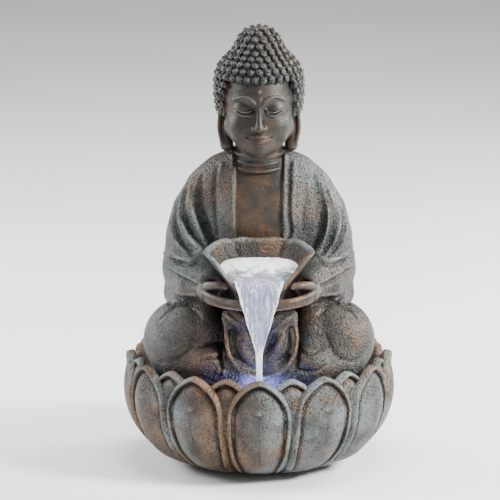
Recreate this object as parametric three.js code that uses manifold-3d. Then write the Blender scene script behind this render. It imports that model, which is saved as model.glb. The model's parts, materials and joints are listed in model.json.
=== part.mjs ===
// Tabletop water fountain: a seated figure in a lotus basin pours water from the bowl in its hands.
// Millimetres, +Z up, the figure faces -Y, origin on the resting surface under the basin's centre.
import * as THREE from "three";
import { mergeVertices } from "three/addons/utils/BufferGeometryUtils.js";
import { ConvexGeometry } from "three/addons/geometries/ConvexGeometry.js";
import Module from "manifold-3d";

const wasm = await Module();
wasm.setup();

// ---- Driving dimensions ----
const GAP = 0.3; // clearance between pieces that meet
const PAD_HEIGHT = 2;
const BASIN = { foot: 50, belly: 111.5, bellyZ: 68, rimZ: 86, lean: 1, wall: 6 };
const INSIDE = { floorZ: 10, floorR: 44, bellyZ: 72 };
const PETALS = { count: 12, tipZ: 100, archZ: 64, halfAngle: 0.236, rearLowZ: 40 };
const PETAL_RISE = { front: 8, rear: 3.5, intoWall: 4 }; // how far the two rows stand out of the wall
const BOWL = { y: -66, baseZ: 150, floorZ: 157, baseR: 17, rimR: 40, wall: 3.5 };
const RIM = { lipZ: 180, sideZ: 204, backZ: 211 };
const DOOR = { z: 152, halfWidth: 26, halfHeight: 34, corner: 10, lip: 4, lipY: 41, plugY: 20 };
const PUMP = { y: 4, z: 34, halfWidth: 19, halfHeight: 16, tail: -26, joint: 6, coverJoint: 20, face: 34 };
const TUBE = { outer: 5.8, inner: 4.4, top: 143 };
const LED = { y: -84, baseZ: 38, sealZ: 51, lensZ: 52.2, topZ: 58, radius: 9 };
const INLET = { z: 79, faceY: 113, nutY: 104, radius: 4, flange: 7.5 };
const HEAD = { y: -2, z: 330 };
const KNEE = { x: 66, y: -31, z: 117, radius: 36 };
const ARCH = { halfWidth: 12, topZ: 44, sideTopZ: 30, reach: 90 }; // where water passes under the figure
const SPLICE = { x: -32, y: 26, z: 17, halfLength: 9, leadStep: 3 };
const CHANNEL_RADIUS = 8.5; // bore through the lap for the feed tube
const STEM_RADIUS = 3.8; // fits inside the feed tube
const LEAD_RADIUS = 1.6;
const ROUND = 36; // sides of a full circle on the large castings

// ---- Materials ----
const material = (color, roughness, metalness = 0) =>
  new THREE.MeshStandardMaterial({ color, roughness, metalness });
const FINISH = {
  resin: material(0x6d6f68, 0.7, 0.15),
  rubber: material(0x1c1c1d, 0.85),
  blackPlastic: material(0x1a1b1d, 0.45),
  clearVinyl: material(0xcfdcdc, 0.2),
  whitePlastic: material(0xe6e6e2, 0.5),
  sponge: material(0x2c3033, 0.95),
  magnet: material(0x3a3b3f, 0.5, 0.6),
  steel: material(0xc4c7c9, 0.3, 1),
  brass: material(0xb58f4a, 0.35, 1),
  board: material(0xf0f2ee, 0.5),
  lens: material(0xdfe8ff, 0.1),
};

// ---- Geometry helpers ----

/** A closed three.js geometry as a solid, turned outwards if its winding points inwards. */
function solid(geometry) {
  const bare = geometry.index ? geometry.toNonIndexed() : geometry.clone();
  for (const name of Object.keys(bare.attributes)) if (name !== "position") bare.deleteAttribute(name);
  const merged = mergeVertices(bare, 1e-3);
  const kept = [];
  for (let i = 0; i < merged.index.count; i += 3) {
    const [a, b, c] = [0, 1, 2].map((k) => merged.index.getX(i + k));
    if (a !== b && b !== c && a !== c) kept.push([a, b, c]);
  }
  const made = (faces) =>
    new wasm.Manifold(
      new wasm.Mesh({
        numProp: 3,
        vertProperties: merged.attributes.position.array,
        triVerts: new Uint32Array(faces.flat()),
      }),
    );
  const first = made(kept);
  return first.volume() < 0 ? made(kept.map(([a, b, c]) => [a, c, b])) : first;
}

const join = (...solids) => solids.reduce((all, one) => all.add(one));
const cut = (from, ...solids) => solids.reduce((left, one) => left.subtract(one), from);

/** Solid of revolution about +Z through [radius, z] points. */
function lathe(points, { at = [0, 0, 0], squash = 1, sides = ROUND } = {}) {
  const profile = points.map(([r, z]) => new THREE.Vector2(r, z));
  const geometry = new THREE.LatheGeometry(profile, sides).rotateX(Math.PI / 2);
  return solid(geometry.scale(1, squash, 1).translate(...at));
}

/** Plain or hollow round bar along +Z from z0 to z1. */
function bar(x, y, z0, z1, outer, inner = 0, sides = 16) {
  const closed = inner
    ? [[inner, z0], [outer, z0], [outer, z1], [inner, z1], [inner, z0]]
    : [[0, z0], [outer, z0], [outer, z1], [0, z1]];
  return lathe(closed, { at: [x, y, 0], sides });
}

/** Six-sided nut along +Z with a round bore. */
const hexNut = (x, y, z0, z1, corner, bore) =>
  cut(bar(x, y, z0, z1, corner, 0, 6), bar(x, y, z0 - 1, z1 + 1, bore));

/** Turns a bar made along +Z at the origin into one along +Y through (x, z). */
const alongY = (made, x, z) => made.rotate([-90, 0, 0]).translate([x, 0, z]);

function ellipsoid([x, y, z], [rx, ry, rz], across = 12, up = 8) {
  const ball = new THREE.SphereGeometry(1, across, up).rotateX(Math.PI / 2);
  return solid(ball.scale(rx, ry, rz).translate(x, y, z));
}

/** Tapered limb through [x, y, z, radius] stations: the hull of each pair of balls, joined. */
function limb(stations, across = 10, up = 6) {
  const balls = stations.map(([x, y, z, r]) => {
    const ball = new THREE.SphereGeometry(r, across, up).rotateX(Math.PI / 2).translate(x, y, z);
    const place = ball.attributes.position;
    return Array.from({ length: place.count }, (_, i) => new THREE.Vector3().fromBufferAttribute(place, i));
  });
  const spans = balls.slice(1).map((ball, i) => solid(new ConvexGeometry([...balls[i], ...ball])));
  return join(...spans);
}

/** Both of a left and right pair, from the solid on the +X side. */
const pair = (made) => made.add(made.mirror([1, 0, 0]));

/** Rounded rectangle centred on (0, 0). */
function roundedRect(halfWidth, halfHeight, corner) {
  const shape = new THREE.Shape();
  const [w, h, c] = [halfWidth, halfHeight, corner];
  shape.moveTo(w, -h + c);
  shape.lineTo(w, h - c).absarc(w - c, h - c, c, 0, Math.PI / 2);
  shape.lineTo(-w + c, h).absarc(-w + c, h - c, c, Math.PI / 2, Math.PI);
  shape.lineTo(-w, -h + c).absarc(-w + c, -h + c, c, Math.PI, 1.5 * Math.PI);
  shape.lineTo(w - c, -h).absarc(w - c, -h + c, c, 1.5 * Math.PI, 2 * Math.PI);
  return shape;
}

/** A shape drawn in X and Z, swept along +Y from y0 to y1. */
function slabY(shape, y0, y1, x = 0, z = 0, curveSegments = 4) {
  const geometry = new THREE.ExtrudeGeometry(shape, { depth: y1 - y0, bevelEnabled: false, curveSegments });
  return solid(geometry.rotateX(Math.PI / 2).translate(x, y1, z));
}

function block([x0, x1], [y0, y1], [z0, z1]) {
  const box = new THREE.BoxGeometry(x1 - x0, y1 - y0, z1 - z0);
  return solid(box.translate((x0 + x1) / 2, (y0 + y1) / 2, (z0 + z1) / 2));
}

/** Round section swept through points; an inner radius makes it a hollow tube. */
function sweep(points, radius, inner = 0, sides = 8, steps = 20) {
  const path = new THREE.CatmullRomCurve3(points.map((p) => new THREE.Vector3(...p)), false, "centripetal");
  const section = new THREE.Shape().absarc(0, 0, radius, 0, 2 * Math.PI);
  if (inner) section.holes.push(new THREE.Path().absarc(0, 0, inner, 0, 2 * Math.PI, true));
  const options = { steps, extrudePath: path, bevelEnabled: false, curveSegments: sides };
  return solid(new THREE.ExtrudeGeometry(section, options));
}

// ---- Named nodes ----
const fountain = new THREE.Group();

function node(name, made, finish) {
  const mesh = made.getMesh();
  const geometry = new THREE.BufferGeometry();
  const places = new Float32Array(mesh.numVert * 3);
  for (let i = 0; i < mesh.numVert; i++) {
    places.set(mesh.vertProperties.subarray(i * mesh.numProp, i * mesh.numProp + 3), i * 3);
  }
  geometry.setAttribute("position", new THREE.BufferAttribute(places, 3));
  geometry.setIndex(new THREE.BufferAttribute(mesh.triVerts, 1));
  geometry.computeVertexNormals();
  const shown = new THREE.Mesh(geometry, finish);
  shown.name = name;
  fountain.add(shown);
}

// ---- Lotus basin ----

/** Quarter ellipse from the foot to the belly, then a rim that leans in slightly. */
function quarter(r0, z0, r1, z1, rimZ, steps) {
  const points = [];
  for (let i = 0; i <= steps; i++) {
    const t = (i / steps) ** 1.6;
    points.push([r0 + (r1 - r0) * Math.sqrt(1 - (1 - t) ** 2), z0 + (z1 - z0) * t]);
  }
  points.push([r1 - BASIN.lean, rimZ]);
  return points;
}

/** The basin's outer side moved out by an offset, and its inner side moved in by one. */
const basinOuter = (offset, rimZ = BASIN.rimZ) =>
  quarter(BASIN.foot + offset, PAD_HEIGHT, BASIN.belly + offset, BASIN.bellyZ, rimZ, 6);
const basinInner = (offset, rimZ = BASIN.rimZ) => {
  const belly = BASIN.belly - BASIN.wall - offset;
  return quarter(INSIDE.floorR - offset, INSIDE.floorZ + offset, belly, INSIDE.bellyZ, rimZ, 5);
};

/** Radius of the basin's outer wall at a height. */
function wallRadius(z) {
  const t = Math.min(1, (z - PAD_HEIGHT) / (BASIN.bellyZ - PAD_HEIGHT));
  return BASIN.foot + (BASIN.belly - BASIN.foot) * Math.sqrt(1 - (1 - t) ** 2);
}

/** Ring of petals: a band that follows the wall, kept only inside each petal's arch. */
function petalRow(rise, turn, lowZ) {
  const outer = basinOuter(rise, PETALS.tipZ + 1).filter(([, z]) => z > lowZ);
  const inner = basinOuter(-PETAL_RISE.intoWall, PETALS.tipZ + 1).filter(([, z]) => z > lowZ).reverse();
  const band = lathe([...outer, ...inner, outer[0]]);
  const side = [lowZ, 14, 34, PETALS.archZ].filter((z) => z >= lowZ).map((z) => [PETALS.halfAngle, z]);
  const arch = [0.35, 0.6, 0.8, 0.94].map((t) => [
    Math.sqrt(1 - t ** 2.2) * PETALS.halfAngle,
    PETALS.archZ + (PETALS.tipZ - PETALS.archZ) * t,
  ]);
  const edge = [...side, ...arch].map(([angle, z]) => [Math.sin(angle) * (wallRadius(z) + rise), z]);
  const outline = [...edge, [0, PETALS.tipZ], ...edge.map(([x, z]) => [-x, z]).reverse()];
  const shape = new THREE.Shape(outline.map(([x, z]) => new THREE.Vector2(x, z)));
  const stencil = slabY(shape, BASIN.foot - 20, BASIN.belly + 20);
  const petal = band.intersect(stencil);
  const each = 360 / PETALS.count;
  return join(...Array.from({ length: PETALS.count }, (_, i) => petal.rotate([0, 0, (i + turn) * each])));
}

const basinSide = [...basinOuter(0), ...basinInner(0).reverse()];
const basinShell = lathe([[0, PAD_HEIGHT], ...basinSide, [0, INSIDE.floorZ]]);
const outerPetals = petalRow(PETAL_RISE.front, 0, PAD_HEIGHT + 2);
const innerPetals = petalRow(PETAL_RISE.rear, 0.5, PETALS.rearLowZ);
const inletBore = alongY(bar(0, 0, 90, 125, INLET.radius + GAP), 0, INLET.z);
const inletSeat = alongY(bar(0, 0, INLET.faceY - 2, 125, INLET.flange + 1), 0, INLET.z);
const nutSeat = alongY(bar(0, 0, 95, INLET.nutY, INLET.flange + 1), 0, INLET.z);
const lotus = join(basinShell, outerPetals, innerPetals);
node("lotus_basin", cut(lotus, inletBore, inletSeat, nutSeat), FINISH.resin);

const PAD_CIRCLE = 38;
for (let i = 0; i < 4; i++) {
  const angle = Math.PI / 4 + (i * Math.PI) / 2;
  const [x, y] = [PAD_CIRCLE * Math.cos(angle), PAD_CIRCLE * Math.sin(angle)];
  node(`foot_pad_${i + 1}`, bar(x, y, 0, PAD_HEIGHT, 8, 0, 12), FINISH.rubber);
}

// ---- Pouring bowl ----
const smooth = (x, from, to) => THREE.MathUtils.smoothstep(x, from, to);

/** Bends a round bowl into a flared one: side wings, a low pouring lip in front, a raised back. */
function bowlBend(geometry) {
  const place = geometry.attributes.position;
  for (let i = 0; i < place.count; i++) {
    const [x, y, z] = [place.getX(i), place.getY(i), place.getZ(i)];
    const turn = Math.abs(Math.atan2(x, -y)); // 0 at the front, pi at the back
    const up = smooth(z, BOWL.floorZ + 3, RIM.sideZ);
    const plan = 1 + up * (0.05 * Math.cos(turn) - 0.21 * Math.cos(2 * turn));
    const rim = RIM.lipZ + (RIM.sideZ - RIM.lipZ) * smooth(turn, 0.5, 1.25);
    const high = rim + (RIM.backZ - RIM.sideZ) * smooth(turn, 1.4, 2.6);
    place.setXYZ(i, x * plan, y * plan, z + up * (high - RIM.sideZ));
  }
  return geometry;
}

/** The bowl's side as [radius, z] points from base to rim, moved outwards by an offset. */
function bowlSide(offset) {
  const steps = 5;
  return Array.from({ length: steps + 1 }, (_, i) => {
    const t = i / steps;
    const radius = BOWL.baseR + (BOWL.rimR - BOWL.baseR) * t ** 1.25;
    return [radius + offset, BOWL.baseZ + (RIM.sideZ - BOWL.baseZ) * t];
  });
}

function bowlLathe(points) {
  const profile = points.map(([r, z]) => new THREE.Vector2(r, z));
  const geometry = new THREE.LatheGeometry(profile, 28).rotateX(Math.PI / 2);
  return solid(bowlBend(geometry).translate(0, BOWL.y, 0));
}

const bowlInside = bowlSide(-BOWL.wall).slice(1).reverse();
const bowlFloor = [[12, BOWL.floorZ], [0, BOWL.floorZ]];
const bowlShell = bowlLathe([[0, BOWL.baseZ], ...bowlSide(0), ...bowlInside, ...bowlFloor]);
const underBowl = [[0, BOWL.baseZ - GAP], [BOWL.baseR + GAP, BOWL.baseZ - GAP]];
const bowlSpace = bowlLathe([...underBowl, ...bowlSide(GAP), [0, 230]]);
node("alms_bowl", cut(bowlShell, bar(0, BOWL.y, 140, 165, STEM_RADIUS + GAP)), FINISH.resin);

const NOZZLE = { low: 128, flangeR: 8, flangeZ: BOWL.floorZ + 1, top: 167, bore: 2.6 };
const nozzleStem = bar(0, BOWL.y, NOZZLE.low, NOZZLE.top, STEM_RADIUS, NOZZLE.bore);
const nozzleFlange = bar(0, BOWL.y, NOZZLE.flangeZ, NOZZLE.flangeZ + 1.5, NOZZLE.flangeR, NOZZLE.bore);
node("bowl_nozzle", nozzleStem.add(nozzleFlange), FINISH.blackPlastic);
node("nozzle_gasket", bar(0, BOWL.y, BOWL.floorZ, NOZZLE.flangeZ, 7.5, STEM_RADIUS + GAP), FINISH.rubber);
node("nozzle_nut", hexNut(0, BOWL.y, 144, BOWL.baseZ, 7.5, STEM_RADIUS + 0.1), FINISH.blackPlastic);

// ---- Feed tube from the pump to the bowl ----
const SPIGOT_Y = PUMP.y + 13;
const TUBE_ROUTE = [
  [0, SPIGOT_Y, 51],
  [0, SPIGOT_Y, 58],
  [0, SPIGOT_Y, 66],
  [0, SPIGOT_Y - 9, 82],
  [0, -14, 92],
  [0, -42, 96],
  [0, BOWL.y + 5, 104],
  [0, BOWL.y, 117],
  [0, BOWL.y, 128],
  [0, BOWL.y, TUBE.top],
];
node("feed_tube", sweep(TUBE_ROUTE, TUBE.outer, TUBE.inner, 4, 20), FINISH.clearVinyl);

// ---- Seated figure ----
function figureOuter() {
  const chest = [[0, 100], [64, 100], [55, 132], [52, 165], [57, 205], [63, 236]];
  const shoulders = [[58, 255], [42, 269], [24, 276], [0, 278]];
  const torso = lathe([...chest, ...shoulders], { at: [0, 9, 0], squash: 0.74, sides: 20 });
  const hips = ellipsoid([0, 10, 104], [78, 60, 46], 16, 8);
  const skirt = lathe([[0, 8], [70, 8], [79, 50], [80, 82], [0, 96]], { squash: 0.93, sides: 24 });
  const thigh = limb([[28, 12, 112, 36], [KNEE.x, KNEE.y, KNEE.z, KNEE.radius]], 14, 8);
  const shin = limb([[KNEE.x - 4, KNEE.y - 12, 102, 27], [0, -60, 94, 20]]);
  const upperArm = limb([[49, 7, 240, 25], [59, 5, 203, 23], [61, 0, 172, 23]]);
  const sleeve = limb([[61, 0, 172, 23], [36, -44, 157, 15]]);
  const hand = limb([[34, -50, 157, 11], [0, -66, 145, 14]]);
  const lap = limb([[0, -36, 130, 34], [0, -56, 110, 27]]);
  return join(torso, hips, skirt, pair(thigh), pair(shin), pair(upperArm), pair(sleeve), pair(hand), lap);
}

function head() {
  const neck = bar(0, 3, 250, 300, 21, 0, 12);
  const face = ellipsoid([0, HEAD.y - 3, HEAD.z - 12], [31, 33, 38], 16, 10);
  const nose = limb([[0, HEAD.y - 34, HEAD.z - 6, 3], [0, HEAD.y - 36, HEAD.z - 20, 4.5]], 6, 4);
  const ear = limb([[31, 1, HEAD.z - 4, 5], [30, 0, HEAD.z - 46, 5]], 8, 4);
  const hair = ellipsoid([0, HEAD.y + 8, HEAD.z + 14], [40, 43, 38], 16, 10);
  const knot = ellipsoid([0, HEAD.y + 8, HEAD.z + 45], [20, 21, 20]);
  return join(neck, face, nose, pair(ear), hair, knot);
}

/** The space above the basin's inner wall, kept clear of it. */
const aboveBasin = lathe([
  [0, INSIDE.floorZ + GAP],
  ...basinInner(GAP, PETALS.tipZ + 2),
  [150, PETALS.tipZ + 2],
  [150, 420],
  [0, 420],
]);

const hollowBase = lathe([[0, 0], [58, 0], [66, 60], [62, 84], [0, 84]], { squash: 0.93, sides: 24 });
const hollowTorso = lathe([[0, 70], [48, 70], [46, 130], [46, 190], [50, 228], [40, 250], [0, 262]], {
  at: [0, 9, 0],
  squash: 0.72,
  sides: 16,
});
const hollowThigh = limb([[24, 10, 108, 28], [KNEE.x - 6, KNEE.y + 5, 112, 26]]);
const tubeChannel = limb(
  [
    [0, 0, 82, 12],
    [0, -40, 96, CHANNEL_RADIUS],
    [0, BOWL.y + 4, 106, CHANNEL_RADIUS],
    [0, BOWL.y, 118, CHANNEL_RADIUS],
    [0, BOWL.y, 149, CHANNEL_RADIUS],
  ],
  10,
  6,
);
const waterArches = join(
  block([-ARCH.halfWidth, ARCH.halfWidth], [-ARCH.reach, ARCH.reach], [0, ARCH.topZ]),
  block([-ARCH.reach, ARCH.reach], [-ARCH.halfWidth, ARCH.halfWidth], [0, ARCH.sideTopZ]),
);

const body = join(figureOuter(), head()).intersect(aboveBasin);
const hollow = join(hollowBase, hollowTorso, pair(hollowThigh), tubeChannel);
const doorPrism = (grow, y0) => {
  const shape = roundedRect(DOOR.halfWidth + grow, DOOR.halfHeight + grow, DOOR.corner + grow);
  return slabY(shape, y0, 90, 0, DOOR.z);
};
const plug = (grow) => doorPrism(grow, DOOR.plugY);
const lid = (grow) => doorPrism(DOOR.lip + grow, DOOR.lipY - grow);
const figure = cut(body, hollow, waterArches, plug(GAP), lid(GAP), bowlSpace);
node("figure", figure, FINISH.resin);

// ---- Rear access door, with a scooped finger pull ----
const doorPull = ellipsoid([0, 56, DOOR.z + 24], [11, 8, 6], 14, 8);
node("access_door", cut(join(plug(0), lid(0)).intersect(body), hollow, doorPull), FINISH.resin);

// ---- Submersible pump, its axis along Y ----
const pumpBox = (y0, y1, inset = 0) => {
  const shape = roundedRect(PUMP.halfWidth - inset, PUMP.halfHeight - inset, 5);
  return slabY(shape, PUMP.y + y0, PUMP.y + y1, 0, PUMP.z, 3);
};
const pumpBar = (y0, y1, outer, inner = 0, sides = 16) =>
  alongY(bar(0, 0, PUMP.y + y0, PUMP.y + y1, outer, inner, sides), 0, PUMP.z);
const WELL = { radius: 7.5, end: -18 };
const SHAFT = { radius: 1.25, from: -20.5, to: 18.7 };
const CHAMBER = { radius: 13, end: 17 };

const PUMP_BASE = PUMP.z - PUMP.halfHeight;
const CUPS = [[-12, -18], [12, -18], [-12, 0], [12, 0]].map(([x, y]) => [x, PUMP.y + y]);
const motorBlock = cut(pumpBox(PUMP.tail, PUMP.joint), pumpBar(WELL.end, PUMP.joint + 1, WELL.radius));
const rearPocket = pumpBar(WELL.end - 3.2, WELL.end + 1, 3.6);
const cupSockets = CUPS.map(([x, y]) => bar(x, y, PUMP_BASE - 1, PUMP_BASE + 3, 2.3, 0, 12));
node("pump_housing", cut(motorBlock, rearPocket, ...cupSockets), FINISH.blackPlastic);

const spigot = bar(0, SPIGOT_Y, PUMP.z + 10, 61, STEM_RADIUS, 0, 16);
const spigotBore = bar(0, SPIGOT_Y, PUMP.z + 8, 62, 2.6, 0, 12);
const EYES = { count: 3, circle: 7.5, radius: 2.6 };
const inletEyes = Array.from({ length: EYES.count }, (_, i) => {
  const angle = (i * 2 * Math.PI) / EYES.count;
  const eye = bar(0, 0, PUMP.y + 15, PUMP.y + 22, EYES.radius, 0, 8);
  return alongY(eye, EYES.circle * Math.sin(angle), PUMP.z + EYES.circle * Math.cos(angle));
});
const voluteBody = cut(
  pumpBox(PUMP.joint + GAP, PUMP.coverJoint),
  pumpBar(PUMP.joint - 1, CHAMBER.end, CHAMBER.radius),
  pumpBar(CHAMBER.end - 1, CHAMBER.end + 2, 3.1),
  ...inletEyes,
);
const voluteShell = cut(voluteBody.add(cut(spigot, pumpBar(0, CHAMBER.end, CHAMBER.radius))), spigotBore);
node("pump_volute", voluteShell, FINISH.blackPlastic);

const SLOT_HALF = 1.1;
const slots = [-12, -8, 8, 12].map((z) =>
  block([-13, 13], [PUMP.y + 30, PUMP.y + 36], [PUMP.z + z - SLOT_HALF, PUMP.z + z + SLOT_HALF]),
);
const window = block([-9, 5], [PUMP.y + 30, PUMP.y + 36], [PUMP.z - 3, PUMP.z + 3]);
const coverShell = cut(pumpBox(PUMP.coverJoint + GAP, PUMP.face), pumpBox(PUMP.coverJoint, PUMP.face - 2, 2));
node("pump_intake_cover", cut(coverShell, ...slots, window), FINISH.blackPlastic);
node("intake_sponge", pumpBox(PUMP.coverJoint + 1, PUMP.face - 2.5, 2.5), FINISH.sponge);

const FACE_Y = PUMP.y + PUMP.face;
const sliderPlate = block([-10.5, -1], [FACE_Y + 0.2, FACE_Y + 1.6], [PUMP.z - 4.5, PUMP.z + 4.5]);
const sliderGrip = block([-7, -4.5], [FACE_Y + 1, FACE_Y + 4.4], [PUMP.z - 4, PUMP.z + 4]);
node("flow_slider", sliderPlate.add(sliderGrip), FINISH.whitePlastic);

node("rotor_magnet", pumpBar(WELL.end + 1, PUMP.joint + 1.7, 6.8, SHAFT.radius + 0.15), FINISH.magnet);
const hub = pumpBar(PUMP.joint + 2, 16, 4, SHAFT.radius + 0.15, 20);
const blade = block([-11.5, 11.5], [PUMP.y + 8.5, PUMP.y + 15.5], [-0.8, 0.8]);
const blades = [0, 60, 120].map((turn) => blade.rotate([0, turn, 0]).translate([0, 0, PUMP.z]));
const vanes = cut(join(...blades), pumpBar(7, 17, 3.5));
node("impeller", hub.add(vanes), FINISH.whitePlastic);
node("pump_shaft", pumpBar(SHAFT.from, SHAFT.to, SHAFT.radius), FINISH.steel);
node("rear_bush", pumpBar(WELL.end - 3, WELL.end, 3.4, SHAFT.radius + 0.05, 16), FINISH.rubber);
node("front_bush", pumpBar(CHAMBER.end - 0.7, CHAMBER.end + 1.9, 3, SHAFT.radius + 0.05, 16), FINISH.rubber);

const cupDish = [[0, 11.6], [5, 10.8], [7.5, 10], [8, 10.4], [5.5, 13.5], [2.6, 15.2]];
const cupStem = [[2.6, 17.8], [2, 17.8], [2, 20.6], [0, 20.6]];
CUPS.forEach(([x, y], i) => {
  node(`suction_cup_${i + 1}`, lathe([...cupDish, ...cupStem], { at: [x, y, 0], sides: 10 }), FINISH.rubber);
});

// ---- Underwater light, in front of the figure ----
const ledLathe = (points) => lathe(points, { at: [0, LED.y, 0], sides: 16 });
const LED_INNER = LED.radius - 1.6;
const ledCup = [[0, LED.baseZ], [LED.radius, LED.baseZ], [LED.radius, LED.sealZ], [LED_INNER, LED.sealZ]];
const ledFloor = [[LED_INNER, LED.baseZ + 3], [0, LED.baseZ + 3]];
node("led_housing", ledLathe([...ledCup, ...ledFloor]), FINISH.blackPlastic);
node("led_board", bar(0, LED.y, LED.baseZ + 6, LED.baseZ + 7.6, LED_INNER - 0.4), FINISH.board);
node("led_seal", bar(0, LED.y, LED.sealZ, LED.lensZ, LED.radius - 0.2, LED_INNER - 0.2), FINISH.rubber);
const lensRim = [[0, LED.lensZ], [LED.radius, LED.lensZ], [LED.radius, LED.lensZ + 1.8]];
const lensDome = [[LED.radius - 2, LED.lensZ + 4], [LED.radius - 5, LED.topZ - 0.5], [0, LED.topZ]];
node("led_lens", ledLathe([...lensRim, ...lensDome]), FINISH.lens);
const bracketBlock = block([-6, 6], [LED.y - 8, LED.y + 6], [20, LED.baseZ]);
node("led_bracket", bracketBlock.intersect(aboveBasin), FINISH.blackPlastic);

// ---- Power inlet through the rear wall ----
const inletBar = (y0, y1, outer, inner = 0) => alongY(bar(0, 0, y0, y1, outer, inner), 0, INLET.z);
const inletBody = join(
  inletBar(96, INLET.faceY + 1, INLET.radius),
  inletBar(INLET.faceY - 1, INLET.faceY + 1, INLET.flange - 0.5),
);
node("dc_inlet", cut(inletBody, inletBar(100, INLET.faceY + 2, 2.75)), FINISH.blackPlastic);
const inletGasket = inletBar(INLET.faceY - 2, INLET.faceY - 1, INLET.flange, INLET.radius + 0.2);
node("inlet_gasket", inletGasket, FINISH.rubber);
const inletNut = hexNut(0, 0, INLET.nutY - 3, INLET.nutY, 7, INLET.radius + 0.1);
node("inlet_nut", alongY(inletNut, 0, INLET.z), FINISH.brass);

// ---- Internal leads ----
const SPLICE_FRONT = SPLICE.y - SPLICE.halfLength;
const SPLICE_BACK = SPLICE.y + SPLICE.halfLength;
const spliceBody = slabY(roundedRect(7, 3.5, 3), SPLICE_FRONT, SPLICE_BACK, SPLICE.x, SPLICE.z, 3);
node("lead_splice", spliceBody, FINISH.rubber);
const pumpLead = [
  [-PUMP.halfWidth - GAP, -10, PUMP.z],
  [-24, -10, PUMP.z],
  [-33, -9, 26],
  [-37, -2, 18],
  [SPLICE.x - SPLICE.leadStep, 9, SPLICE.z],
  [SPLICE.x - SPLICE.leadStep, SPLICE_FRONT - GAP, SPLICE.z],
];
node("pump_lead", sweep(pumpLead, LEAD_RADIUS, 0, 3, 14), FINISH.rubber);
const ledLead = [
  [0, LED.y + LED.radius + GAP, LED.baseZ + 3],
  [0, -70, LED.baseZ + 3],
  [-3, -58, 30],
  [-14, -46, 16],
  [-25, -26, 14],
  [SPLICE.x + SPLICE.leadStep, 6, SPLICE.z - 1],
  [SPLICE.x + SPLICE.leadStep, SPLICE_FRONT - 5, SPLICE.z],
  [SPLICE.x + SPLICE.leadStep, SPLICE_FRONT - GAP, SPLICE.z],
];
node("led_lead", sweep(ledLead, LEAD_RADIUS, 0, 3, 18), FINISH.rubber);
const inletLead = [
  [SPLICE.x, SPLICE_BACK + GAP, SPLICE.z],
  [SPLICE.x + 1, SPLICE_BACK + 5, SPLICE.z],
  [-22, 48, 17],
  [-10, 54, 18],
  [-5, 63, 22],
  [-3, 73, 30],
  [0, 82, 44],
  [0, 84, 62],
  [0, 86, 74],
  [0, 91, INLET.z],
  [0, 96 - GAP, INLET.z],
];
node("inlet_lead", sweep(inletLead, LEAD_RADIUS, 0, 3, 20), FINISH.rubber);

export default fountain;
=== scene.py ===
"""Tabletop water fountain: a seated figure in a lotus basin pours water from the bowl in its hands.

Figure, head and access door are sculpted as signed distances on a grid and then meshed. The basin's petals,
the pouring bowl and the water are swept surfaces. Shapes are worked out in millimetres and meshed in metres.
"""
import json
import math

import bmesh
import bpy
import numpy as np
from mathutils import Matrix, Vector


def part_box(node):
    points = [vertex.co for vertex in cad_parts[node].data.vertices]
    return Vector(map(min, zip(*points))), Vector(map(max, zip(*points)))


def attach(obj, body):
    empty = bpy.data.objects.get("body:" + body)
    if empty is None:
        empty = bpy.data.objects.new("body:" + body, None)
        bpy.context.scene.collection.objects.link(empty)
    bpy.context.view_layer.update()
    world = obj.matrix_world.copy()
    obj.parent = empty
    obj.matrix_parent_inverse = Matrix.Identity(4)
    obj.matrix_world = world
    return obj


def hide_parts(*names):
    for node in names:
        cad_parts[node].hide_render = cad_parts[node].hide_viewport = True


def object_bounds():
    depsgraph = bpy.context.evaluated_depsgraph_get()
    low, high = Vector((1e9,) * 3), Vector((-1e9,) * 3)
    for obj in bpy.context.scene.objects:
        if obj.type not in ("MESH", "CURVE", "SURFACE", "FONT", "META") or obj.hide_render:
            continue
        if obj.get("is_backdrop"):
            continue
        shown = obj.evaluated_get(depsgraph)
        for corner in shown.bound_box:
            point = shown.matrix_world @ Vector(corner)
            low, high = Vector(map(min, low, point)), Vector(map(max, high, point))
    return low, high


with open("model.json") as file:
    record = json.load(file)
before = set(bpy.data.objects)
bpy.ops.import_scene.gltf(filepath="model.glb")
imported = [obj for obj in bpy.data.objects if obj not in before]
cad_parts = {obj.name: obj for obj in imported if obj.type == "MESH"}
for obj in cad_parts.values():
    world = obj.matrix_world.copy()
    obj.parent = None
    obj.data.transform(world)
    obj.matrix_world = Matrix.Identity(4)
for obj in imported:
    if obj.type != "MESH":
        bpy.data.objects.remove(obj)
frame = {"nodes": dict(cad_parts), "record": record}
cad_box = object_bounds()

import openvdb
from mathutils import Vector

MM = 0.001
SEED = 7
GAP = 0.3  # clearance between pieces that meet


def mm_box(node):
    """Lowest and highest corner of a CAD node, in millimetres."""
    low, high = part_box(node)
    return np.array(low) / MM, np.array(high) / MM


basin_low, basin_high = mm_box("lotus_basin")
nozzle_low, nozzle_high = mm_box("bowl_nozzle")
door_low, door_high = mm_box("access_door")

BOWL_Y = (nozzle_low[1] + nozzle_high[1]) / 2
BOWL_BASE = mm_box("alms_bowl")[0][2]
TIP_Z = basin_high[2]
FOOT_Z = basin_low[2]
WATER_Z = 66.0
HEAD_Y = -2.0
HAIR_Y = HEAD_Y + 7
HAIR_DEPTH = 1.08  # the hair's depth over its width
BODY_STEP = 1.25  # grid step of the sculpted body
HEAD_STEP = 0.62
BODY_TRIANGLES = 190000
HEAD_TRIANGLES = 165000


# ---- Clay: signed distances on a grid ----

def smooth_step(x, low, high):
    t = np.clip((x - low) / (high - low), 0, 1)
    return t * t * (3 - 2 * t)


def smooth_min(a, b, k):
    if k <= 0:
        return np.minimum(a, b)
    h = np.clip(0.5 + 0.5 * (b - a) / k, 0, 1)
    return b + (a - b) * h - k * h * (1 - h)


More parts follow.
